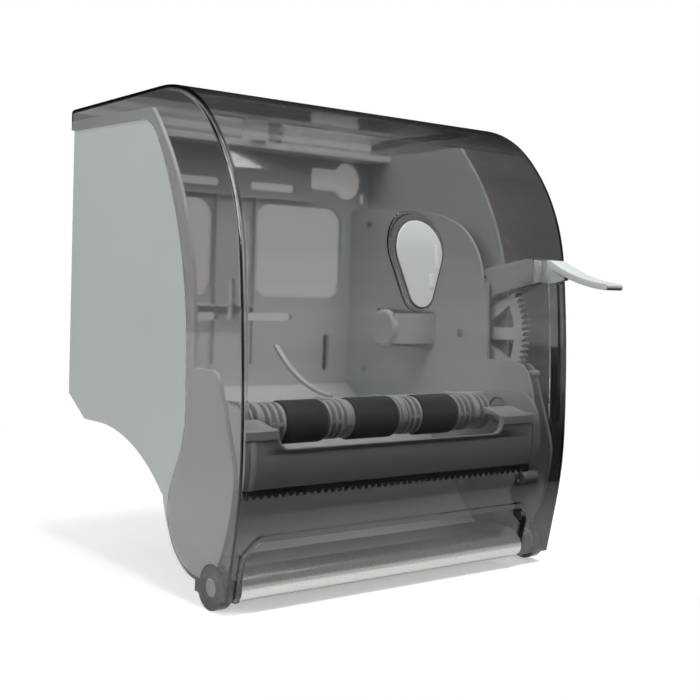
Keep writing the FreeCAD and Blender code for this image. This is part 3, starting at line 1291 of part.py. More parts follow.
for number, (left, right) in enumerate(((-housing_inner - 1.2, -housing_inner + 3.5),
                                        (s.gear_cover_left - 3, gear_cover_right + 1)), start=1):
    block = new_body(f"pinch_block_{number}")
    pad(block, f"pinch_block_pad_{number}", "YZ", left, right - left,
        pill(pinch_y - s.pinch_slot_half, pinch_z - s.pinch_slot_half + 0.05,
             pinch_y + s.pinch_slot_half + 1, pinch_z + s.pinch_slot_half - 0.05))
    pocket(block, f"pinch_block_bore_{number}", "YZ", left - 1, right - left + 2,
           Circle(pinch_y, pinch_z, s.pinch_shaft_radius + s.running_gap))
    blocks.append(block)
group("pinch_blocks", blocks)

# ---------------------------------------------------------------------------
# Springs: one pulls the lever back up, one loads the cheek end of the gear housing
# ---------------------------------------------------------------------------
spring_low = s.spring_foot + 4 + s.spring_gap
spring_high = pivot_z + s.tail_pin_height - s.tail_pin_radius - s.spring_gap
coil("return_spring", "z", s.spring_radius, s.spring_wire, spring_high - spring_low, 12,
     s.gear_left + 3 + s.spring_gap + s.spring_radius + s.spring_wire, -s.spring_reach, spring_low)
post_y, post_z = as_size(-227), as_size(-94)
spring_post = new_body("spring_post", 0, post_y, post_z)
turn_profile(spring_post, "post_profile", [
    (s.gear_left - 1, as_size(0)), (s.gear_left - 1, as_size(2)), (s.gear_left, as_size(3)),
    (housing_inner - 0.05, as_size(3)), (housing_inner - 0.05, as_size(0))])
finished(spring_post)

# Screws that hold the nose bar to the housing's floor
nose_screws = []
for number, x in enumerate(nose_screw_places, start=1):
    shank = along(f"nose_screw_shank_{number}", "z", s.screw_radius - s.shank_gap, 9, x, -s.nose_screw_reach,
                  s.foot_height - 0.5)
    head = along(f"nose_screw_head_{number}", "z", s.screw_head_radius, 1.5, x, -s.nose_screw_reach,
                 s.foot_height - 1.55)
    nose_screws.append(fused(f"nose_screw_{number}", [shank, head]))
group("nose_screws", nose_screws)

# ---------------------------------------------------------------------------
# Checks and files
# ---------------------------------------------------------------------------
doc.recompute()
for item in doc.Objects:
    if "Invalid" in item.State or "Error" in item.State:
        raise RuntimeError(f"{item.Name} does not build: {item.State}")
    if item.TypeId in ("PartDesign::Pocket", "PartDesign::Boolean") and item.BaseFeature:
        if abs(item.Shape.Volume - item.BaseFeature.Shape.Volume) < 1e-3:
            raise RuntimeError(f"{item.Name} changes nothing")
os.makedirs("parts", exist_ok=True)
for piece in pieces:
    if piece.Shape.isNull() or not piece.Shape.isValid():
        raise RuntimeError(f"{piece.Label} has no sound shape")
    piece.Shape.exportStep(f"parts/{piece.Label}.step")
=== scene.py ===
import math

import bmesh
import bpy
from mathutils import Matrix, Vector


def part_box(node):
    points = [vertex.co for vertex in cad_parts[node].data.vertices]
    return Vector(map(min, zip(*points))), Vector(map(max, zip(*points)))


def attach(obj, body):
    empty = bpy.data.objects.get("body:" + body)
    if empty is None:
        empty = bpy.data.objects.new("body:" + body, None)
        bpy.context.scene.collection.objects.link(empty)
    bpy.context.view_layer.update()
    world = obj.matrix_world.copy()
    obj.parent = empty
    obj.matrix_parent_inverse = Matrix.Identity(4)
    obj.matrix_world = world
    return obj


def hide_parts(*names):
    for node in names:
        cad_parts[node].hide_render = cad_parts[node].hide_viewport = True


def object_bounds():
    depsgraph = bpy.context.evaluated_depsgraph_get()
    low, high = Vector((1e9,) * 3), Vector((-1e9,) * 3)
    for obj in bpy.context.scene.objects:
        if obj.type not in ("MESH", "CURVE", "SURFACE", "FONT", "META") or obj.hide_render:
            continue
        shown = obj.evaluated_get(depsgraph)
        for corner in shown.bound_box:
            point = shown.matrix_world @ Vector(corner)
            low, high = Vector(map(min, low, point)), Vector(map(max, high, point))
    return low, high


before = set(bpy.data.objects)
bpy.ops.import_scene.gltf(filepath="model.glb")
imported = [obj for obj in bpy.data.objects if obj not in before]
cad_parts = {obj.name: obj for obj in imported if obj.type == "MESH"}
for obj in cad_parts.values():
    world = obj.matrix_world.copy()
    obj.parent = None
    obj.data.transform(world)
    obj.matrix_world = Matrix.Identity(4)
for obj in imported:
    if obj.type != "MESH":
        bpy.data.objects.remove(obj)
cad_low, cad_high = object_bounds()
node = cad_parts

# Camera: to the left of the dispenser and a little above its middle, looking slightly down,
# with the narrow view of a product picture.
yaw, pitch, roll = (math.radians(angle) for angle in (39.110, -3.204, 1.976))
forward = Vector((math.sin(yaw) * math.cos(pitch), math.cos(yaw) * math.cos(pitch), math.sin(pitch)))
level = Vector((math.cos(yaw), -math.sin(yaw), 0.0))
upright = level.cross(forward)
rightward = level * math.cos(roll) + upright * math.sin(roll)
upward = upright * math.cos(roll) - level * math.sin(roll)
eye = Vector((-0.5851, -0.8890, -0.02525))
camera_data = bpy.data.cameras.new("camera")
camera_data.sensor_width = 36.0
camera_data.lens = 61.714
camera_data.clip_start = 0.05
camera = bpy.data.objects.new("camera", camera_data)
camera.matrix_world = Matrix((
    (rightward.x, upward.x, -forward.x, eye.x),
    (rightward.y, upward.y, -forward.y, eye.y),
    (rightward.z, upward.z, -forward.z, eye.z),
    (0.0, 0.0, 0.0, 1.0),
))
bpy.context.scene.collection.objects.link(camera)
bpy.context.scene.camera = camera
bpy.context.scene.view_settings.view_transform = "Standard"


# Studio: a sheet of white card just under the dispenser. To the camera it is white and keeps the
# shadow. Polished pieces mirror only the strip close to the dispenser, and it throws little light up.
def linear(hex_colour):
    """An sRGB hex colour as linear red, green, blue and alpha."""
    parts = [int(hex_colour[i:i + 2], 16) / 255 for i in (1, 3, 5)]
    return tuple(c / 12.92 if c <= 0.04045 else ((c + 0.055) / 1.055) ** 2.4 for c in parts) + (1.0,)


def add(tree, kind, settings=None, links=None):
    """Adds a node: settings go on its sockets or properties, links are {socket: where it comes from}."""
    new = tree.nodes.new(kind)
    for name, value in (settings or {}).items():
        if not isinstance(name, int) and hasattr(new, name):
            setattr(new, name, value)
    for name, value in (settings or {}).items():
        if isinstance(name, int) or not hasattr(new, name):
            new.inputs[name].default_value = value
    for name, source in (links or {}).items():
        tree.links.new(source, new.inputs[name])
    return new


def new_material(name):
    """An empty material and its node tree."""
    material = bpy.data.materials.new(name)
    material.use_nodes = True
    material.node_tree.nodes.clear()
    return material, material.node_tree


floor_paint, tree = new_material("studio_card")
path = add(tree, "ShaderNodeLightPath")
place = add(tree, "ShaderNodeTexCoord")
spread = add(tree, "ShaderNodeVectorMath", {"operation": "LENGTH"}, {0: place.outputs["Object"]})
away = add(tree, "ShaderNodeMapRange",
           {"interpolation_type": "SMOOTHSTEP", "From Min": 0.3, "From Max": 0.75},
           {"Value": spread.outputs["Value"]})
matt = add(tree, "ShaderNodeBsdfDiffuse", {"Color": linear("#232322")})
pale = add(tree, "ShaderNodeBsdfDiffuse", {"Color": linear("#e8e8e8")})
glow = add(tree, "ShaderNodeEmission", {"Color": (1, 1, 1, 1), "Strength": 0.36})
lit = add(tree, "ShaderNodeAddShader", links={0: pale.outputs[0], 1: glow.outputs[0]})
white = add(tree, "ShaderNodeEmission", {"Color": (1, 1, 1, 1), "Strength": 1.0})
faded = add(tree, "ShaderNodeMixShader", links={0: away.outputs[0], 1: lit.outputs[0], 2: white.outputs[0]})
mirrored = add(tree, "ShaderNodeMath", {"operation": "SUBTRACT", "use_clamp": True},
               {0: path.outputs["Is Glossy Ray"], 1: path.outputs["Is Transmission Ray"]})
spot = add(tree, "ShaderNodeNewGeometry")
spot_axes = add(tree, "ShaderNodeSeparateXYZ", links={0: spot.outputs["Position"]})
close_by = add(tree, "ShaderNodeMapRange",
               {"From Min": -0.40, "From Max": -0.28, "To Min": 0.1, "To Max": 0.9},
               {"Value": spot_axes.outputs["Y"]})
shown = add(tree, "ShaderNodeMath", {"operation": "MULTIPLY_ADD"},
            {0: mirrored.outputs[0], 1: close_by.outputs[0], 2: path.outputs["Is Camera Ray"]})
seen = add(tree, "ShaderNodeMixShader", links={0: shown.outputs[0], 1: matt.outputs[0], 2: faded.outputs[0]})
add(tree, "ShaderNodeOutputMaterial", links={"Surface": seen.outputs[0]})
card_half_width, card_half_depth, card_middle, card_gap = 3.0, 1.8, 1.42, 0.0005
card = bmesh.new()
bmesh.ops.create_grid(card, x_segments=1, y_segments=1, size=1.0)
bmesh.ops.scale(card, vec=(card_half_width, card_half_depth, 1.0), verts=card.verts)
bmesh.ops.translate(card, vec=(0.0, card_middle, cad_low.z - card_gap), verts=card.verts)
card_mesh = bpy.data.meshes.new("studio_floor")
card.to_mesh(card_mesh)
card.free()
floor = bpy.data.objects.new("studio_floor", card_mesh)
bpy.context.scene.collection.objects.link(floor)
card_mesh.materials.append(floor_paint)

# The room: white to the camera. Its ceiling gives a soft light. The polished cover mirrors a pale
# band just above the table and a dark ceiling. Behind, seen through the cover, the room is pale low
# down and darker upwards and to the sides.
world = bpy.data.worlds.new("studio_room")
bpy.context.scene.world = world
world.use_nodes = True
world.node_tree.nodes.clear()
tree = world.node_tree
path = add(tree, "ShaderNodeLightPath")
direction = add(tree, "ShaderNodeTexCoord")
axes = add(tree, "ShaderNodeSeparateXYZ", links={0: direction.outputs["Generated"]})
height = add(tree, "ShaderNodeMapRange", {"From Min": -0.1, "From Max": 0.9, "To Min": 0.0, "To Max": 0.5},
             {"Value": axes.outputs["Z"]})
rearward = add(tree, "ShaderNodeMapRange", {"From Min": -0.8, "From Max": 0.0, "To Min": 0.2, "To Max": 1.0},
               {"Value": axes.outputs["Y"]})
soft = add(tree, "ShaderNodeMath", {"operation": "MULTIPLY"}, {0: height.outputs[0], 1: rearward.outputs[0]})
flat = add(tree, "ShaderNodeMapping", {"Scale": (1.5, 1.5, 22.0)}, {"Vector": direction.outputs["Generated"]})
boards = add(tree, "ShaderNodeTexNoise", {"Scale": 2.0, "Detail": 3.0}, {"Vector": flat.outputs[0]})
streaks = add(tree, "ShaderNodeMapRange", {"From Min": 0.3, "From Max": 0.7, "To Min": 0.5, "To Max": 1.2},
              {"Value": boards.outputs["Fac"]})
above_table = add(tree, "ShaderNodeMapRange",
                  {"From Min": -0.11, "From Max": -0.03, "To Min": 0.04, "To Max": 1.0},
                  {"Value": axes.outputs["Z"]})
below_ceiling = add(tree, "ShaderNodeMapRange",
                    {"From Min": 0.05, "From Max": 0.25, "To Min": 1.0, "To Max": 0.12},
                    {"Value": axes.outputs["Z"]})
in_front = add(tree, "ShaderNodeMapRange", {"From Min": -0.3, "From Max": 0.1, "To Min": 1.0, "To Max": 0.15},
               {"Value": axes.outputs["Y"]})
at_back = add(tree, "ShaderNodeMapRange", {"From Min": 0.1, "From Max": 0.4}, {"Value": axes.outputs["Y"]})
mirror = above_table
for fade in (below_ceiling, streaks, in_front):
    mirror = add(tree, "ShaderNodeMath", {"operation": "MULTIPLY"},
                 {0: mirror.outputs[0], 1: fade.outputs[0]})
sideways = add(tree, "ShaderNodeMath", {"operation": "ABSOLUTE"}, {0: axes.outputs["X"]})
middle = add(tree, "ShaderNodeMapRange", {"From Min": 0.62, "From Max": 0.74, "To Min": 0.5, "To Max": 0.2},
             {"Value": sideways.outputs[0]})
low_down = add(tree, "ShaderNodeMapRange", {"From Min": 0.07, "From Max": 0.15, "To Min": 1.0, "To Max": 0.4},
               {"Value": axes.outputs["Z"]})
through = add(tree, "ShaderNodeMath", {"operation": "MULTIPLY"},
              {0: middle.outputs[0], 1: low_down.outputs[0]})
ambient = add(tree, "ShaderNodeBackground", {"Color": (1, 1, 1, 1)}, {"Strength": soft.outputs[0]})
mirrored = add(tree, "ShaderNodeBackground", {"Color": (1, 1, 1, 1)}, {"Strength": mirror.outputs[0]})
behind = add(tree, "ShaderNodeBackground", {"Color": (1.0, 0.98, 0.96, 1)}, {"Strength": through.outputs[0]})
white = add(tree, "ShaderNodeBackground", {"Color": (1, 1, 1, 1), "Strength": 1.0})
only_mirrored = add(tree, "ShaderNodeMath", {"operation": "SUBTRACT", "use_clamp": True},
                    {0: path.outputs["Is Glossy Ray"], 1: path.outputs["Is Transmission Ray"]})
seen_behind = add(tree, "ShaderNodeMath", {"operation": "MULTIPLY"},
                  {0: path.outputs["Is Transmission Ray"], 1: at_back.outputs[0]})
room = ambient
for share, view in ((only_mirrored.outputs[0], mirrored), (seen_behind.outputs[0], behind),
                    (path.outputs["Is Camera Ray"], white)):
    room = add(tree, "ShaderNodeMixShader", links={0: share, 1: room.outputs[0], 2: view.outputs[0]})
add(tree, "ShaderNodeOutputWorld", links={"Surface": room.outputs[0]})


def softbox(name, stand, target, size, power, mirrored):
    """A large soft lamp that looks at a point, seen or unseen in the polished surfaces."""
    data = bpy.data.lights.new(name, "AREA")
    data.shape = "RECTANGLE"
    data.size, data.size_y = size
    data.energy = power
    lamp = bpy.data.objects.new(name, data)
    lamp.location = stand
    lamp.rotation_euler = (Vector(target) - Vector(stand)).to_track_quat("-Z", "Y").to_euler()
    lamp.visible_glossy = mirrored
    bpy.context.scene.collection.objects.link(lamp)


softbox("side_lamp", (-1.8, -0.3, 0.8), (0, -0.12, -0.05), (1.0, 1.0), 30, True)
softbox("top_lamp", (0.25, -0.9, 1.65), (0, -0.15, -0.05), (1.4, 0.6), 46, False)
softbox("front_lamp", (0.6, -1.3, 1.4), (0, -0.15, -0.05), (1.2, 0.9), 3, False)

# Rear housing with its gear cover, stripping fingers, guide finger, roll hubs, roller core and the
# lock's housing: light grey ABS, moulded in tools with a fine spark-eroded grain, so it shines
# softly. The grain of 0.4 mm is drawn at 0.9 mm, because finer grain doesn't show.
housing_abs, tree = new_material("spark_grained_abs")
place = add(tree, "ShaderNodeTexCoord")
grain = add(tree, "ShaderNodeTexNoise", {"Scale": 1100.0, "Detail": 3.0, "Roughness": 0.6},
            {"Vector": place.outputs["Object"]})
flow = add(tree, "ShaderNodeTexNoise", {"Scale": 11.0, "Detail": 3.0}, {"Vector": place.outputs["Object"]})
tone = add(tree, "ShaderNodeMix", {"data_type": "RGBA", 6: linear("#b0b6b6"), 7: linear("#bbc1c1")},
           {"Factor": flow.outputs["Fac"]})
shine = add(tree, "ShaderNodeMapRange", {"To Min": 0.42, "To Max": 0.6}, {"Value": grain.outputs["Fac"]})
soft_edge = add(tree, "ShaderNodeBevel", {"samples": 4, "Radius": 0.0006})
pitted = add(tree, "ShaderNodeBump", {"Strength": 0.35, "Distance": 0.00012},
             {"Height": grain.outputs["Fac"], "Normal": soft_edge.outputs[0]})
shader = add(tree, "ShaderNodeBsdfPrincipled", {"IOR": 1.53},
             {"Base Color": tone.outputs[2], "Roughness": shine.outputs[0], "Normal": pitted.outputs[0]})
add(tree, "ShaderNodeOutputMaterial", links={"Surface": shader.outputs[0]})


def wear(piece_names, material):
    """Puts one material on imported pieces."""
    for name in piece_names:
        node[name].data.materials.clear()
        node[name].data.materials.append(material)


wear(["rear_housing", "gear_cover", "stripper_fingers", "paper_guide", "right_roll_hub",
      "left_roll_hub", "hub_guide", "feed_core", "feed_bushes", "spring_post",
      "lock_housing", "lock_barrel"], housing_abs)

# Front chute: the same ABS. Its curved sheet ends at the two ledges on each side of the roller and
# only its end plates go up further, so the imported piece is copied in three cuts: end, middle, end.
end_plate, same_point = 0.0026, 1e-6
ledge_point, ledge_up = (0.0, -0.226, -0.1192), (0.0, -0.204, 0.979)
chute_low, chute_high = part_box("front_chute")
left_face, right_face = (chute_low[0] + end_plate, 0, 0), (chute_high[0] - end_plate, 0, 0)
chute = bmesh.new()
for cuts in ([(left_face, (1, 0, 0))], [(right_face, (-1, 0, 0))],
             [(left_face, (-1, 0, 0)), (right_face, (1, 0, 0)), (ledge_point, ledge_up)]):
    cut_part = bmesh.new()
    cut_part.from_mesh(node["front_chute"].data)
    bmesh.ops.remove_doubles(cut_part, verts=cut_part.verts, dist=same_point)
    for point, outward in cuts:
        everything = cut_part.verts[:] + cut_part.edges[:] + cut_part.faces[:]
        bmesh.ops.bisect_plane(cut_part, geom=everything, plane_co=point, plane_no=outward, clear_outer=True)
        bmesh.ops.holes_fill(cut_part, edges=[edge for edge in cut_part.edges if edge.is_boundary])
    cut_mesh = bpy.data.meshes.new("chute_part")
    cut_part.to_mesh(cut_mesh)
    cut_part.free()
    chute.from_mesh(cut_mesh)
    bpy.data.meshes.remove(cut_mesh)
chute_mesh = bpy.data.meshes.new("chute_moulding")
chute.to_mesh(chute_mesh)
chute.free()
chute_mesh.materials.append(housing_abs)
chute_moulding = bpy.data.objects.new("chute_moulding", chute_mesh)
bpy.context.scene.collection.objects.link(chute_moulding)
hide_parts("front_chute")
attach(chute_moulding, "rear")

# Lock keeper: a curved lip over the edge of the top flange, moulded in the housing's ABS, that the
# lock's cam turns behind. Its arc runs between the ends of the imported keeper.
lip_wall, lip_low, lip_high, lip_edge = 0.0025, 0.0935, 0.1010, 0.0006
keeper_low, keeper_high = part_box("lock_keeper")
lip_half, lip_rise = (keeper_high[0] - keeper_low[0]) / 2, keeper_high[1] - keeper_low[1]
lip_radius = (lip_half ** 2 + lip_rise ** 2) / (2 * lip_rise)
lip_turn = math.asin(lip_half / lip_radius)
lip_axis = (0.0, keeper_low[1] + lip_radius, 0.0)
lip = bmesh.new()
corners = [lip.verts.new((0.0, keeper_low[1] + depth, height)) for depth, height in
           ((0, lip_low), (lip_wall, lip_low), (lip_wall, lip_high), (0, lip_high))]
lip.faces.new(corners)
bmesh.ops.rotate(lip, verts=lip.verts, cent=lip_axis, matrix=Matrix.Rotation(-lip_turn, 3, "Z"))
bmesh.ops.spin(lip, geom=lip.verts[:] + lip.edges[:] + lip.faces[:], cent=lip_axis, axis=(0, 0, 1),
               angle=2 * lip_turn, steps=28)
bmesh.ops.recalc_face_normals(lip, faces=lip.faces)
square_edge = 1.0
bmesh.ops.bevel(lip, geom=[edge for edge in lip.edges if edge.calc_face_angle(0) > square_edge],
                offset=lip_edge, segments=2, profile=0.5, affect="EDGES", material=-1)
lip_mesh = bpy.data.meshes.new("keeper_lip")
lip.to_mesh(lip_mesh)
lip.free()
lip_mesh.materials.append(housing_abs)
keeper_lip = bpy.data.objects.new("keeper_lip", lip_mesh)
bpy.context.scene.collection.objects.link(keeper_lip)
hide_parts("lock_keeper")
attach(keeper_lip, "rear")

# Nose bar: ABS with a satin metallic lacquer, smooth to the paper that slides over it, so it mirrors
# the dark room above and the white card below.
metallic_lacquer, tree = new_material("satin_metallic_lacquer")
place = add(tree, "ShaderNodeTexCoord")
flakes = add(tree, "ShaderNodeTexNoise", {"Scale": 1400.0, "Detail": 2.0},
             {"Vector": place.outputs["Object"]})
tone = add(tree, "ShaderNodeMix", {"data_type": "RGBA", 6: linear("#b9b8b5"), 7: linear("#cac9c6")},
           {"Factor": flakes.outputs["Fac"]})
shine = add(tree, "ShaderNodeMapRange", {"To Min": 0.24, "To Max": 0.34}, {"Value": flakes.outputs["Fac"]})
shader = add(tree, "ShaderNodeBsdfPrincipled", {"Metallic": 0.8},
             {"Base Color": tone.outputs[2], "Roughness": shine.outputs[0]})
add(tree, "ShaderNodeOutputMaterial", links={"Surface": shader.outputs[0]})
wear(["nose_bar"], metallic_lacquer)

# Blade bar: dark grey ABS with a satin surface. The ring round the sight pane wears it too, as painted shade
# in the gap there.
dark_abs_and_gap_shade, tree = new_material("satin_dark_abs")
place = add(tree, "ShaderNodeTexCoord")
grain = add(tree, "ShaderNodeTexNoise", {"Scale": 1300.0, "Detail": 2.0}, {"Vector": place.outputs["Object"]})
flow = add(tree, "ShaderNodeTexNoise", {"Scale": 25.0, "Detail": 2.0}, {"Vector": place.outputs["Object"]})
tone = add(tree, "ShaderNodeMix", {"data_type": "RGBA", 6: linear("#3a3b3d"), 7: linear("#48494b")},
           {"Factor": flow.outputs["Fac"]})
soft_edge = add(tree, "ShaderNodeBevel", {"samples": 4, "Radius": 0.0005})
pitted = add(tree, "ShaderNodeBump", {"Strength": 0.25, "Distance": 0.0001},
             {"Height": grain.outputs["Fac"], "Normal": soft_edge.outputs[0]})
shader = add(tree, "ShaderNodeBsdfPrincipled", {"IOR": 1.53, "Roughness": 0.38},
             {"Base Color": tone.outputs[2], "Normal": pitted.outputs[0]})
add(tree, "ShaderNodeOutputMaterial", links={"Surface": shader.outputs[0]})
wear(["blade_bar"], dark_abs_and_gap_shade)

# Hinge pins: warm grey nylon, turned smooth, that shows through the cover's thin boss ends.
warm_nylon, tree = new_material("warm_grey_nylon")
place = add(tree, "ShaderNodeTexCoord")
flow = add(tree, "ShaderNodeTexNoise", {"Scale": 150.0, "Detail": 2.0}, {"Vector": place.outputs["Object"]})
tone = add(tree, "ShaderNodeMix", {"data_type": "RGBA", 6: linear("#77716c"), 7: linear("#837d78")},
           {"Factor": flow.outputs["Fac"]})
shader = add(tree, "ShaderNodeBsdfPrincipled", {"Roughness": 0.4, "IOR": 1.53},
             {"Base Color": tone.outputs[2]})
add(tree, "ShaderNodeOutputMaterial", links={"Surface": shader.outputs[0]})
wear(["hinge_pin_left", "hinge_pin_right"], warm_nylon)

# Tear blade: stamped stainless strip, its rolling marks running along its length. The marks are
# 0.15 mm apart and are drawn at 0.4 mm.
stainless_strip, tree = new_material("rolled_stainless")
place = add(tree, "ShaderNodeTexCoord")
along_strip = add(tree, "ShaderNodeMapping", {"Scale": (12.0, 2500.0, 2500.0)},
                  {"Vector": place.outputs["Object"]})
marks = add(tree, "ShaderNodeTexNoise", {"Scale": 1.0, "Detail": 3.0}, {"Vector": along_strip.outputs[0]})
shine = add(tree, "ShaderNodeMapRange", {"To Min": 0.2, "To Max": 0.4}, {"Value": marks.outputs["Fac"]})
scored = add(tree, "ShaderNodeBump", {"Strength": 0.2, "Distance": 0.00005}, {"Height": marks.outputs["Fac"]})
shader = add(tree, "ShaderNodeBsdfPrincipled", {"Base Color": linear("#c4c6c8"), "Metallic": 1.0},
             {"Roughness": shine.outputs[0], "Normal": scored.outputs[0]})
add(tree, "ShaderNodeOutputMaterial", links={"Surface": shader.outputs[0]})
wear(["tear_blade"], stainless_strip)

# Screws, shafts, springs, clutch and lock cam: steel with a bright zinc plating, slightly cloudy.
zinc_plated_steel, tree = new_material("zinc_plated_steel")
place = add(tree, "ShaderNodeTexCoord")
spangle = add(tree, "ShaderNodeTexNoise", {"Scale": 420.0, "Detail": 3.0},
              {"Vector": place.outputs["Object"]})
tone = add(tree, "ShaderNodeMix", {"data_type": "RGBA", 6: linear("#a7a9ab"), 7: linear("#c9cbcc")},
           {"Factor": spangle.outputs["Fac"]})
shine = add(tree, "ShaderNodeMapRange", {"To Min": 0.22, "To Max": 0.4}, {"Value": spangle.outputs["Fac"]})
shader = add(tree, "ShaderNodeBsdfPrincipled", {"Metallic": 1.0},
             {"Base Color": tone.outputs[2], "Roughness": shine.outputs[0]})
add(tree, "ShaderNodeOutputMaterial", links={"Surface": shader.outputs[0]})
wear(["feed_shaft", "pinch_shaft", "lever_pivot_pin", "blade_screws", "lever_screws", "gear_cover_screws",
      "nose_screws", "hub_spring", "return_spring", "one_way_clutch", "lock_cam"], zinc_plated_steel)

# Grip sleeves and pinch tyres: black moulded rubber, dull and slightly dusty. Its skin of 0.3 mm
# grains is drawn at 0.8 mm.
moulded_rubber, tree = new_material("moulded_rubber")
place = add(tree, "ShaderNodeTexCoord")
skin = add(tree, "ShaderNodeTexNoise", {"Scale": 1250.0, "Detail": 4.0, "Roughness": 0.7},
           {"Vector": place.outputs["Object"]})
tone = add(tree, "ShaderNodeMix", {"data_type": "RGBA", 6: linear("#131314"), 7: linear("#2b2b2c")},
           {"Factor": skin.outputs["Fac"]})
pitted = add(tree, "ShaderNodeBump", {"Strength": 0.6, "Distance": 0.0002}, {"Height": skin.outputs["Fac"]})
shader = add(tree, "ShaderNodeBsdfPrincipled", {"Roughness": 0.78, "IOR": 1.5},
             {"Base Color": tone.outputs[2], "Normal": pitted.outputs[0]})
add(tree, "ShaderNodeOutputMaterial", links={"Surface": shader.outputs[0]})
wear(["grip_sleeve_left", "grip_sleeve_middle", "grip_sleeve_right", "pinch_tyres"], moulded_rubber)

# Sector gear, pinion and pinch blocks: natural acetal, white, waxy and a little translucent.
natural_acetal, tree = new_material("natural_acetal")
place = add(tree, "ShaderNodeTexCoord")
flow = add(tree, "ShaderNodeTexNoise", {"Scale": 60.0, "Detail": 2.0}, {"Vector": place.outputs["Object"]})
tone = add(tree, "ShaderNodeMix", {"data_type": "RGBA", 6: linear("#cfd1cf"), 7: linear("#dcdddb")},
           {"Factor": flow.outputs["Fac"]})
soft_edge = add(tree, "ShaderNodeBevel", {"samples": 4, "Radius": 0.0004})
shader = add(tree, "ShaderNodeBsdfPrincipled", {"Roughness": 0.32, "IOR": 1.48},
             {"Base Color": tone.outputs[2], "Normal": soft_edge.outputs[0]})
add(tree, "ShaderNodeOutputMaterial", links={"Surface": shader.outputs[0]})
wear(["sector_gear", "drive_pinion", "pinch_blocks"], natural_acetal)

# Lever: arm, neck and paddle in one ABS moulding, its touched edges rounded. It is a copy of the
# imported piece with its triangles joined, so that the edges can be rounded.
lever_edge, sharp_corner, flat_join = 0.0011, math.radians(40), math.radians(1)
lever_mesh = node["lever_arm"].data.copy()
shape = bmesh.new()
shape.from_mesh(lever_mesh)
bmesh.ops.remove_doubles(shape, verts=shape.verts, dist=same_point)
bmesh.ops.dissolve_limit(shape, angle_limit=flat_join, verts=shape.verts, edges=shape.edges)
shape.to_mesh(lever_mesh)
shape.free()
lever = bpy.data.objects.new("lever_moulding", lever_mesh)
bpy.context.scene.collection.objects.link(lever)
lever_mesh.materials.clear()
lever_mesh.materials.append(housing_abs)
rounding = lever.modifiers.new("rounded_edges", "BEVEL")
rounding.width = lever_edge
rounding.segments = 3
rounding.limit_method = "ANGLE"
rounding.angle_limit = sharp_corner
lever_mesh.shade_smooth()
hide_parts("lever_arm")
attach(lever, "lever")

# Cover: one hood of smoke-tinted polycarbonate, 3 mm thick, injection moulded and polished. The
# tint is in the plastic, so a wall seen along its length is much darker than one seen through.
smoke_polycarbonate, tree = new_material("smoke_polycarbonate")
path = add(tree, "ShaderNodeLightPath")
place = add(tree, "ShaderNodeTexCoord")
waviness = add(tree, "ShaderNodeTexNoise", {"Scale": 16.0, "Detail": 1.0},
               {"Vector": place.outputs["Object"]})
rippled = add(tree, "ShaderNodeBump", {"Strength": 0.06, "Distance": 0.002},
              {"Height": waviness.outputs["Fac"]})
rubbed = add(tree, "ShaderNodeTexNoise", {"Scale": 240.0, "Detail": 4.0}, {"Vector": place.outputs["Object"]})
haze = add(tree, "ShaderNodeMapRange", {"From Min": 0.35, "From Max": 0.75, "To Min": 0.02, "To Max": 0.07},
           {"Value": rubbed.outputs["Fac"]})
gloss = add(tree, "ShaderNodeBsdfPrincipled",
            {"Base Color": (1, 1, 1, 1), "IOR": 1.58, "Transmission Weight": 1.0},
            {"Roughness": haze.outputs[0], "Normal": rippled.outputs[0]})
open_way = add(tree, "ShaderNodeBsdfTransparent", {"Color": linear("#f6f6f6")})
mixed = add(tree, "ShaderNodeMixShader",
            links={0: path.outputs["Is Shadow Ray"], 1: gloss.outputs[0], 2: open_way.outputs[0]})
tint = add(tree, "ShaderNodeVolumeAbsorption", {"Color": (0.05, 0.0, 0.02, 1.0), "Density": 155.0})
add(tree, "ShaderNodeOutputMaterial", links={"Surface": mixed.outputs[0], "Volume": tint.outputs[0]})
wear(["cover_shell", "sight_window"], smoke_polycarbonate)

# Sight window: a milky acrylic pane in the face of the smoke-grey plug, with a dark ring round it
# that is painted shade for the gap between pane and plug, and two pale tabs by its edge, of which
# the upper one is a painted highlight of the plug's edge. Each lies on the plug's curved face.
milky_acrylic, tree = new_material("milky_acrylic")
place = add(tree, "ShaderNodeTexCoord")
frost = add(tree, "ShaderNodeTexNoise", {"Scale": 700.0, "Detail": 3.0}, {"Vector": place.outputs["Object"]})
cloud = add(tree, "ShaderNodeTexNoise", {"Scale": 30.0, "Detail": 2.0}, {"Vector": place.outputs["Object"]})
tone = add(tree, "ShaderNodeMix", {"data_type": "RGBA", 6: linear("#bfc3c3"), 7: linear("#cacdcd")},
           {"Factor": cloud.outputs["Fac"]})
pitted = add(tree, "ShaderNodeBump", {"Strength": 0.2, "Distance": 0.0001}, {"Height": frost.outputs["Fac"]})
milky = add(tree, "ShaderNodeBsdfPrincipled", {"Roughness": 0.25, "IOR": 1.49, "Coat Weight": 0.5},
            {"Base Color": tone.outputs[2], "Normal": pitted.outputs[0]})
add(tree, "ShaderNodeOutputMaterial", links={"Surface": milky.outputs[0]})

# Pale acrylic for the two tabs. On the upper tab its light colour is a painted highlight of the plug's edge.
tab_acrylic_and_painted_highlight, tree = new_material("tab_acrylic_and_painted_highlight")
place = add(tree, "ShaderNodeTexCoord")
frost = add(tree, "ShaderNodeTexNoise", {"Scale": 300.0, "Detail": 2.0}, {"Vector": place.outputs["Object"]})
shine = add(tree, "ShaderNodeMapRange", {"To Min": 0.08, "To Max": 0.2}, {"Value": frost.outputs["Fac"]})
shader = add(tree, "ShaderNodeBsdfPrincipled", {"Base Color": linear("#cdd1d1"), "IOR": 1.49},
             {"Roughness": shine.outputs[0]})
add(tree, "ShaderNodeOutputMaterial", links={"Surface": shader.outputs[0]})


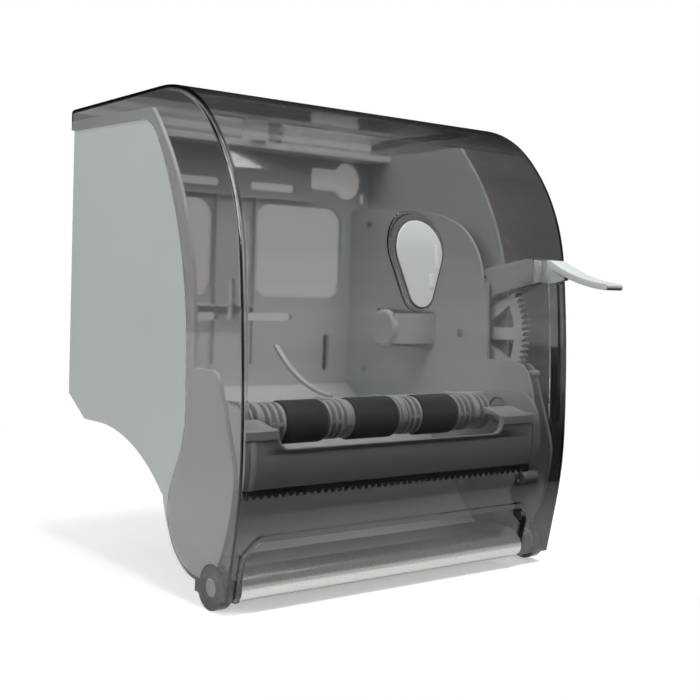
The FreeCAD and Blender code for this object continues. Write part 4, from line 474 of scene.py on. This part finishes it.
def lay_on_window(shape, name, material):
    """Bends a flat bmesh over the plug's face and makes it a piece of the cover."""
    well_in_front = -0.3
    lowest_cut, highest_cut, cut_step = -44, 26, 4
    for height in range(lowest_cut, highest_cut, cut_step):
        everything = shape.verts[:] + shape.edges[:] + shape.faces[:]
        bmesh.ops.bisect_plane(shape, geom=everything, plane_co=(0, 0, height / 1000), plane_no=(0, 0, 1))
    for corner in shape.verts:
        found, on_face, _, _ = node["sight_window"].ray_cast((corner.co.x, well_in_front, corner.co.z),
                                                             (0, 1, 0))
        assert found, name + " reaches past the plug"
        corner.co.y += on_face.y
    mesh = bpy.data.meshes.new(name)
    shape.to_mesh(mesh)
    shape.free()
    mesh.materials.append(material)
    piece = bpy.data.objects.new(name, mesh)
    bpy.context.scene.collection.objects.link(piece)
    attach(piece, "cover")


pane_across, pane_head, pane_foot = -0.0041, -0.0008, -0.0297
facing_front = Matrix.Rotation(math.radians(90), 4, "X")
for name, head_radius, foot_radius, proud, edge, material, slot in (
        # The dark ring is painted shade: it stands for the shaded gap between pane and plug.
        ("sight_gap_painted_shade", 0.0228, 0.0124, 0.0003, 0.0001, dark_abs_and_gap_shade, "dark_plastic"),
        ("sight_pane", 0.0219, 0.0115, 0.0009, 0.0005, milky_acrylic, "clear_plastic")):
    pane = bmesh.new()
    for height, radius in ((pane_head, head_radius), (pane_foot, foot_radius)):
        stand = Matrix.Translation((pane_across, -proud / 2, height)) @ facing_front
        bmesh.ops.create_cone(pane, cap_ends=True, segments=72, radius1=radius, radius2=radius, depth=proud,
                              matrix=stand)
    hull = bmesh.ops.convex_hull(pane, input=pane.verts)
    bmesh.ops.delete(pane, geom=list({thing for thing in hull["geom_interior"] + hull["geom_unused"]
                                      if isinstance(thing, bmesh.types.BMVert)}), context="VERTS")
    bmesh.ops.dissolve_limit(pane, angle_limit=flat_join, verts=pane.verts, edges=pane.edges)
    outline = [rim for rim in pane.edges
               if rim.calc_face_angle(0) > square_edge and rim.verts[0].co.y < -proud / 2]
    bmesh.ops.bevel(pane, geom=outline, offset=edge, segments=3, profile=0.5, affect="EDGES", material=-1)
    lay_on_window(pane, name, material)

# The first tab is a snap tab. The second is a painted highlight on the plug's edge.
tab_proud, tab_thickness, tab_edge = 0.0009, 0.0005, 0.0002
for number, (left, right, low, high) in enumerate(((0.0035, 0.0084, -0.0270, -0.0170),
                                                   (0.0102, 0.0132, -0.0130, 0.0040)), 1):
    tab = bmesh.new()
    fit = Matrix.Translation(((left + right) / 2, -tab_proud, (low + high) / 2)) @ Matrix.Diagonal(
        (right - left, tab_thickness, high - low, 1.0))
    bmesh.ops.create_cube(tab, size=1.0, matrix=fit)
    bmesh.ops.bevel(tab, geom=tab.edges, offset=tab_edge, segments=2, profile=0.5, affect="EDGES",
                    material=-1)
    lay_on_window(tab, f"tab_and_painted_highlight_{number}", tab_acrylic_and_painted_highlight)
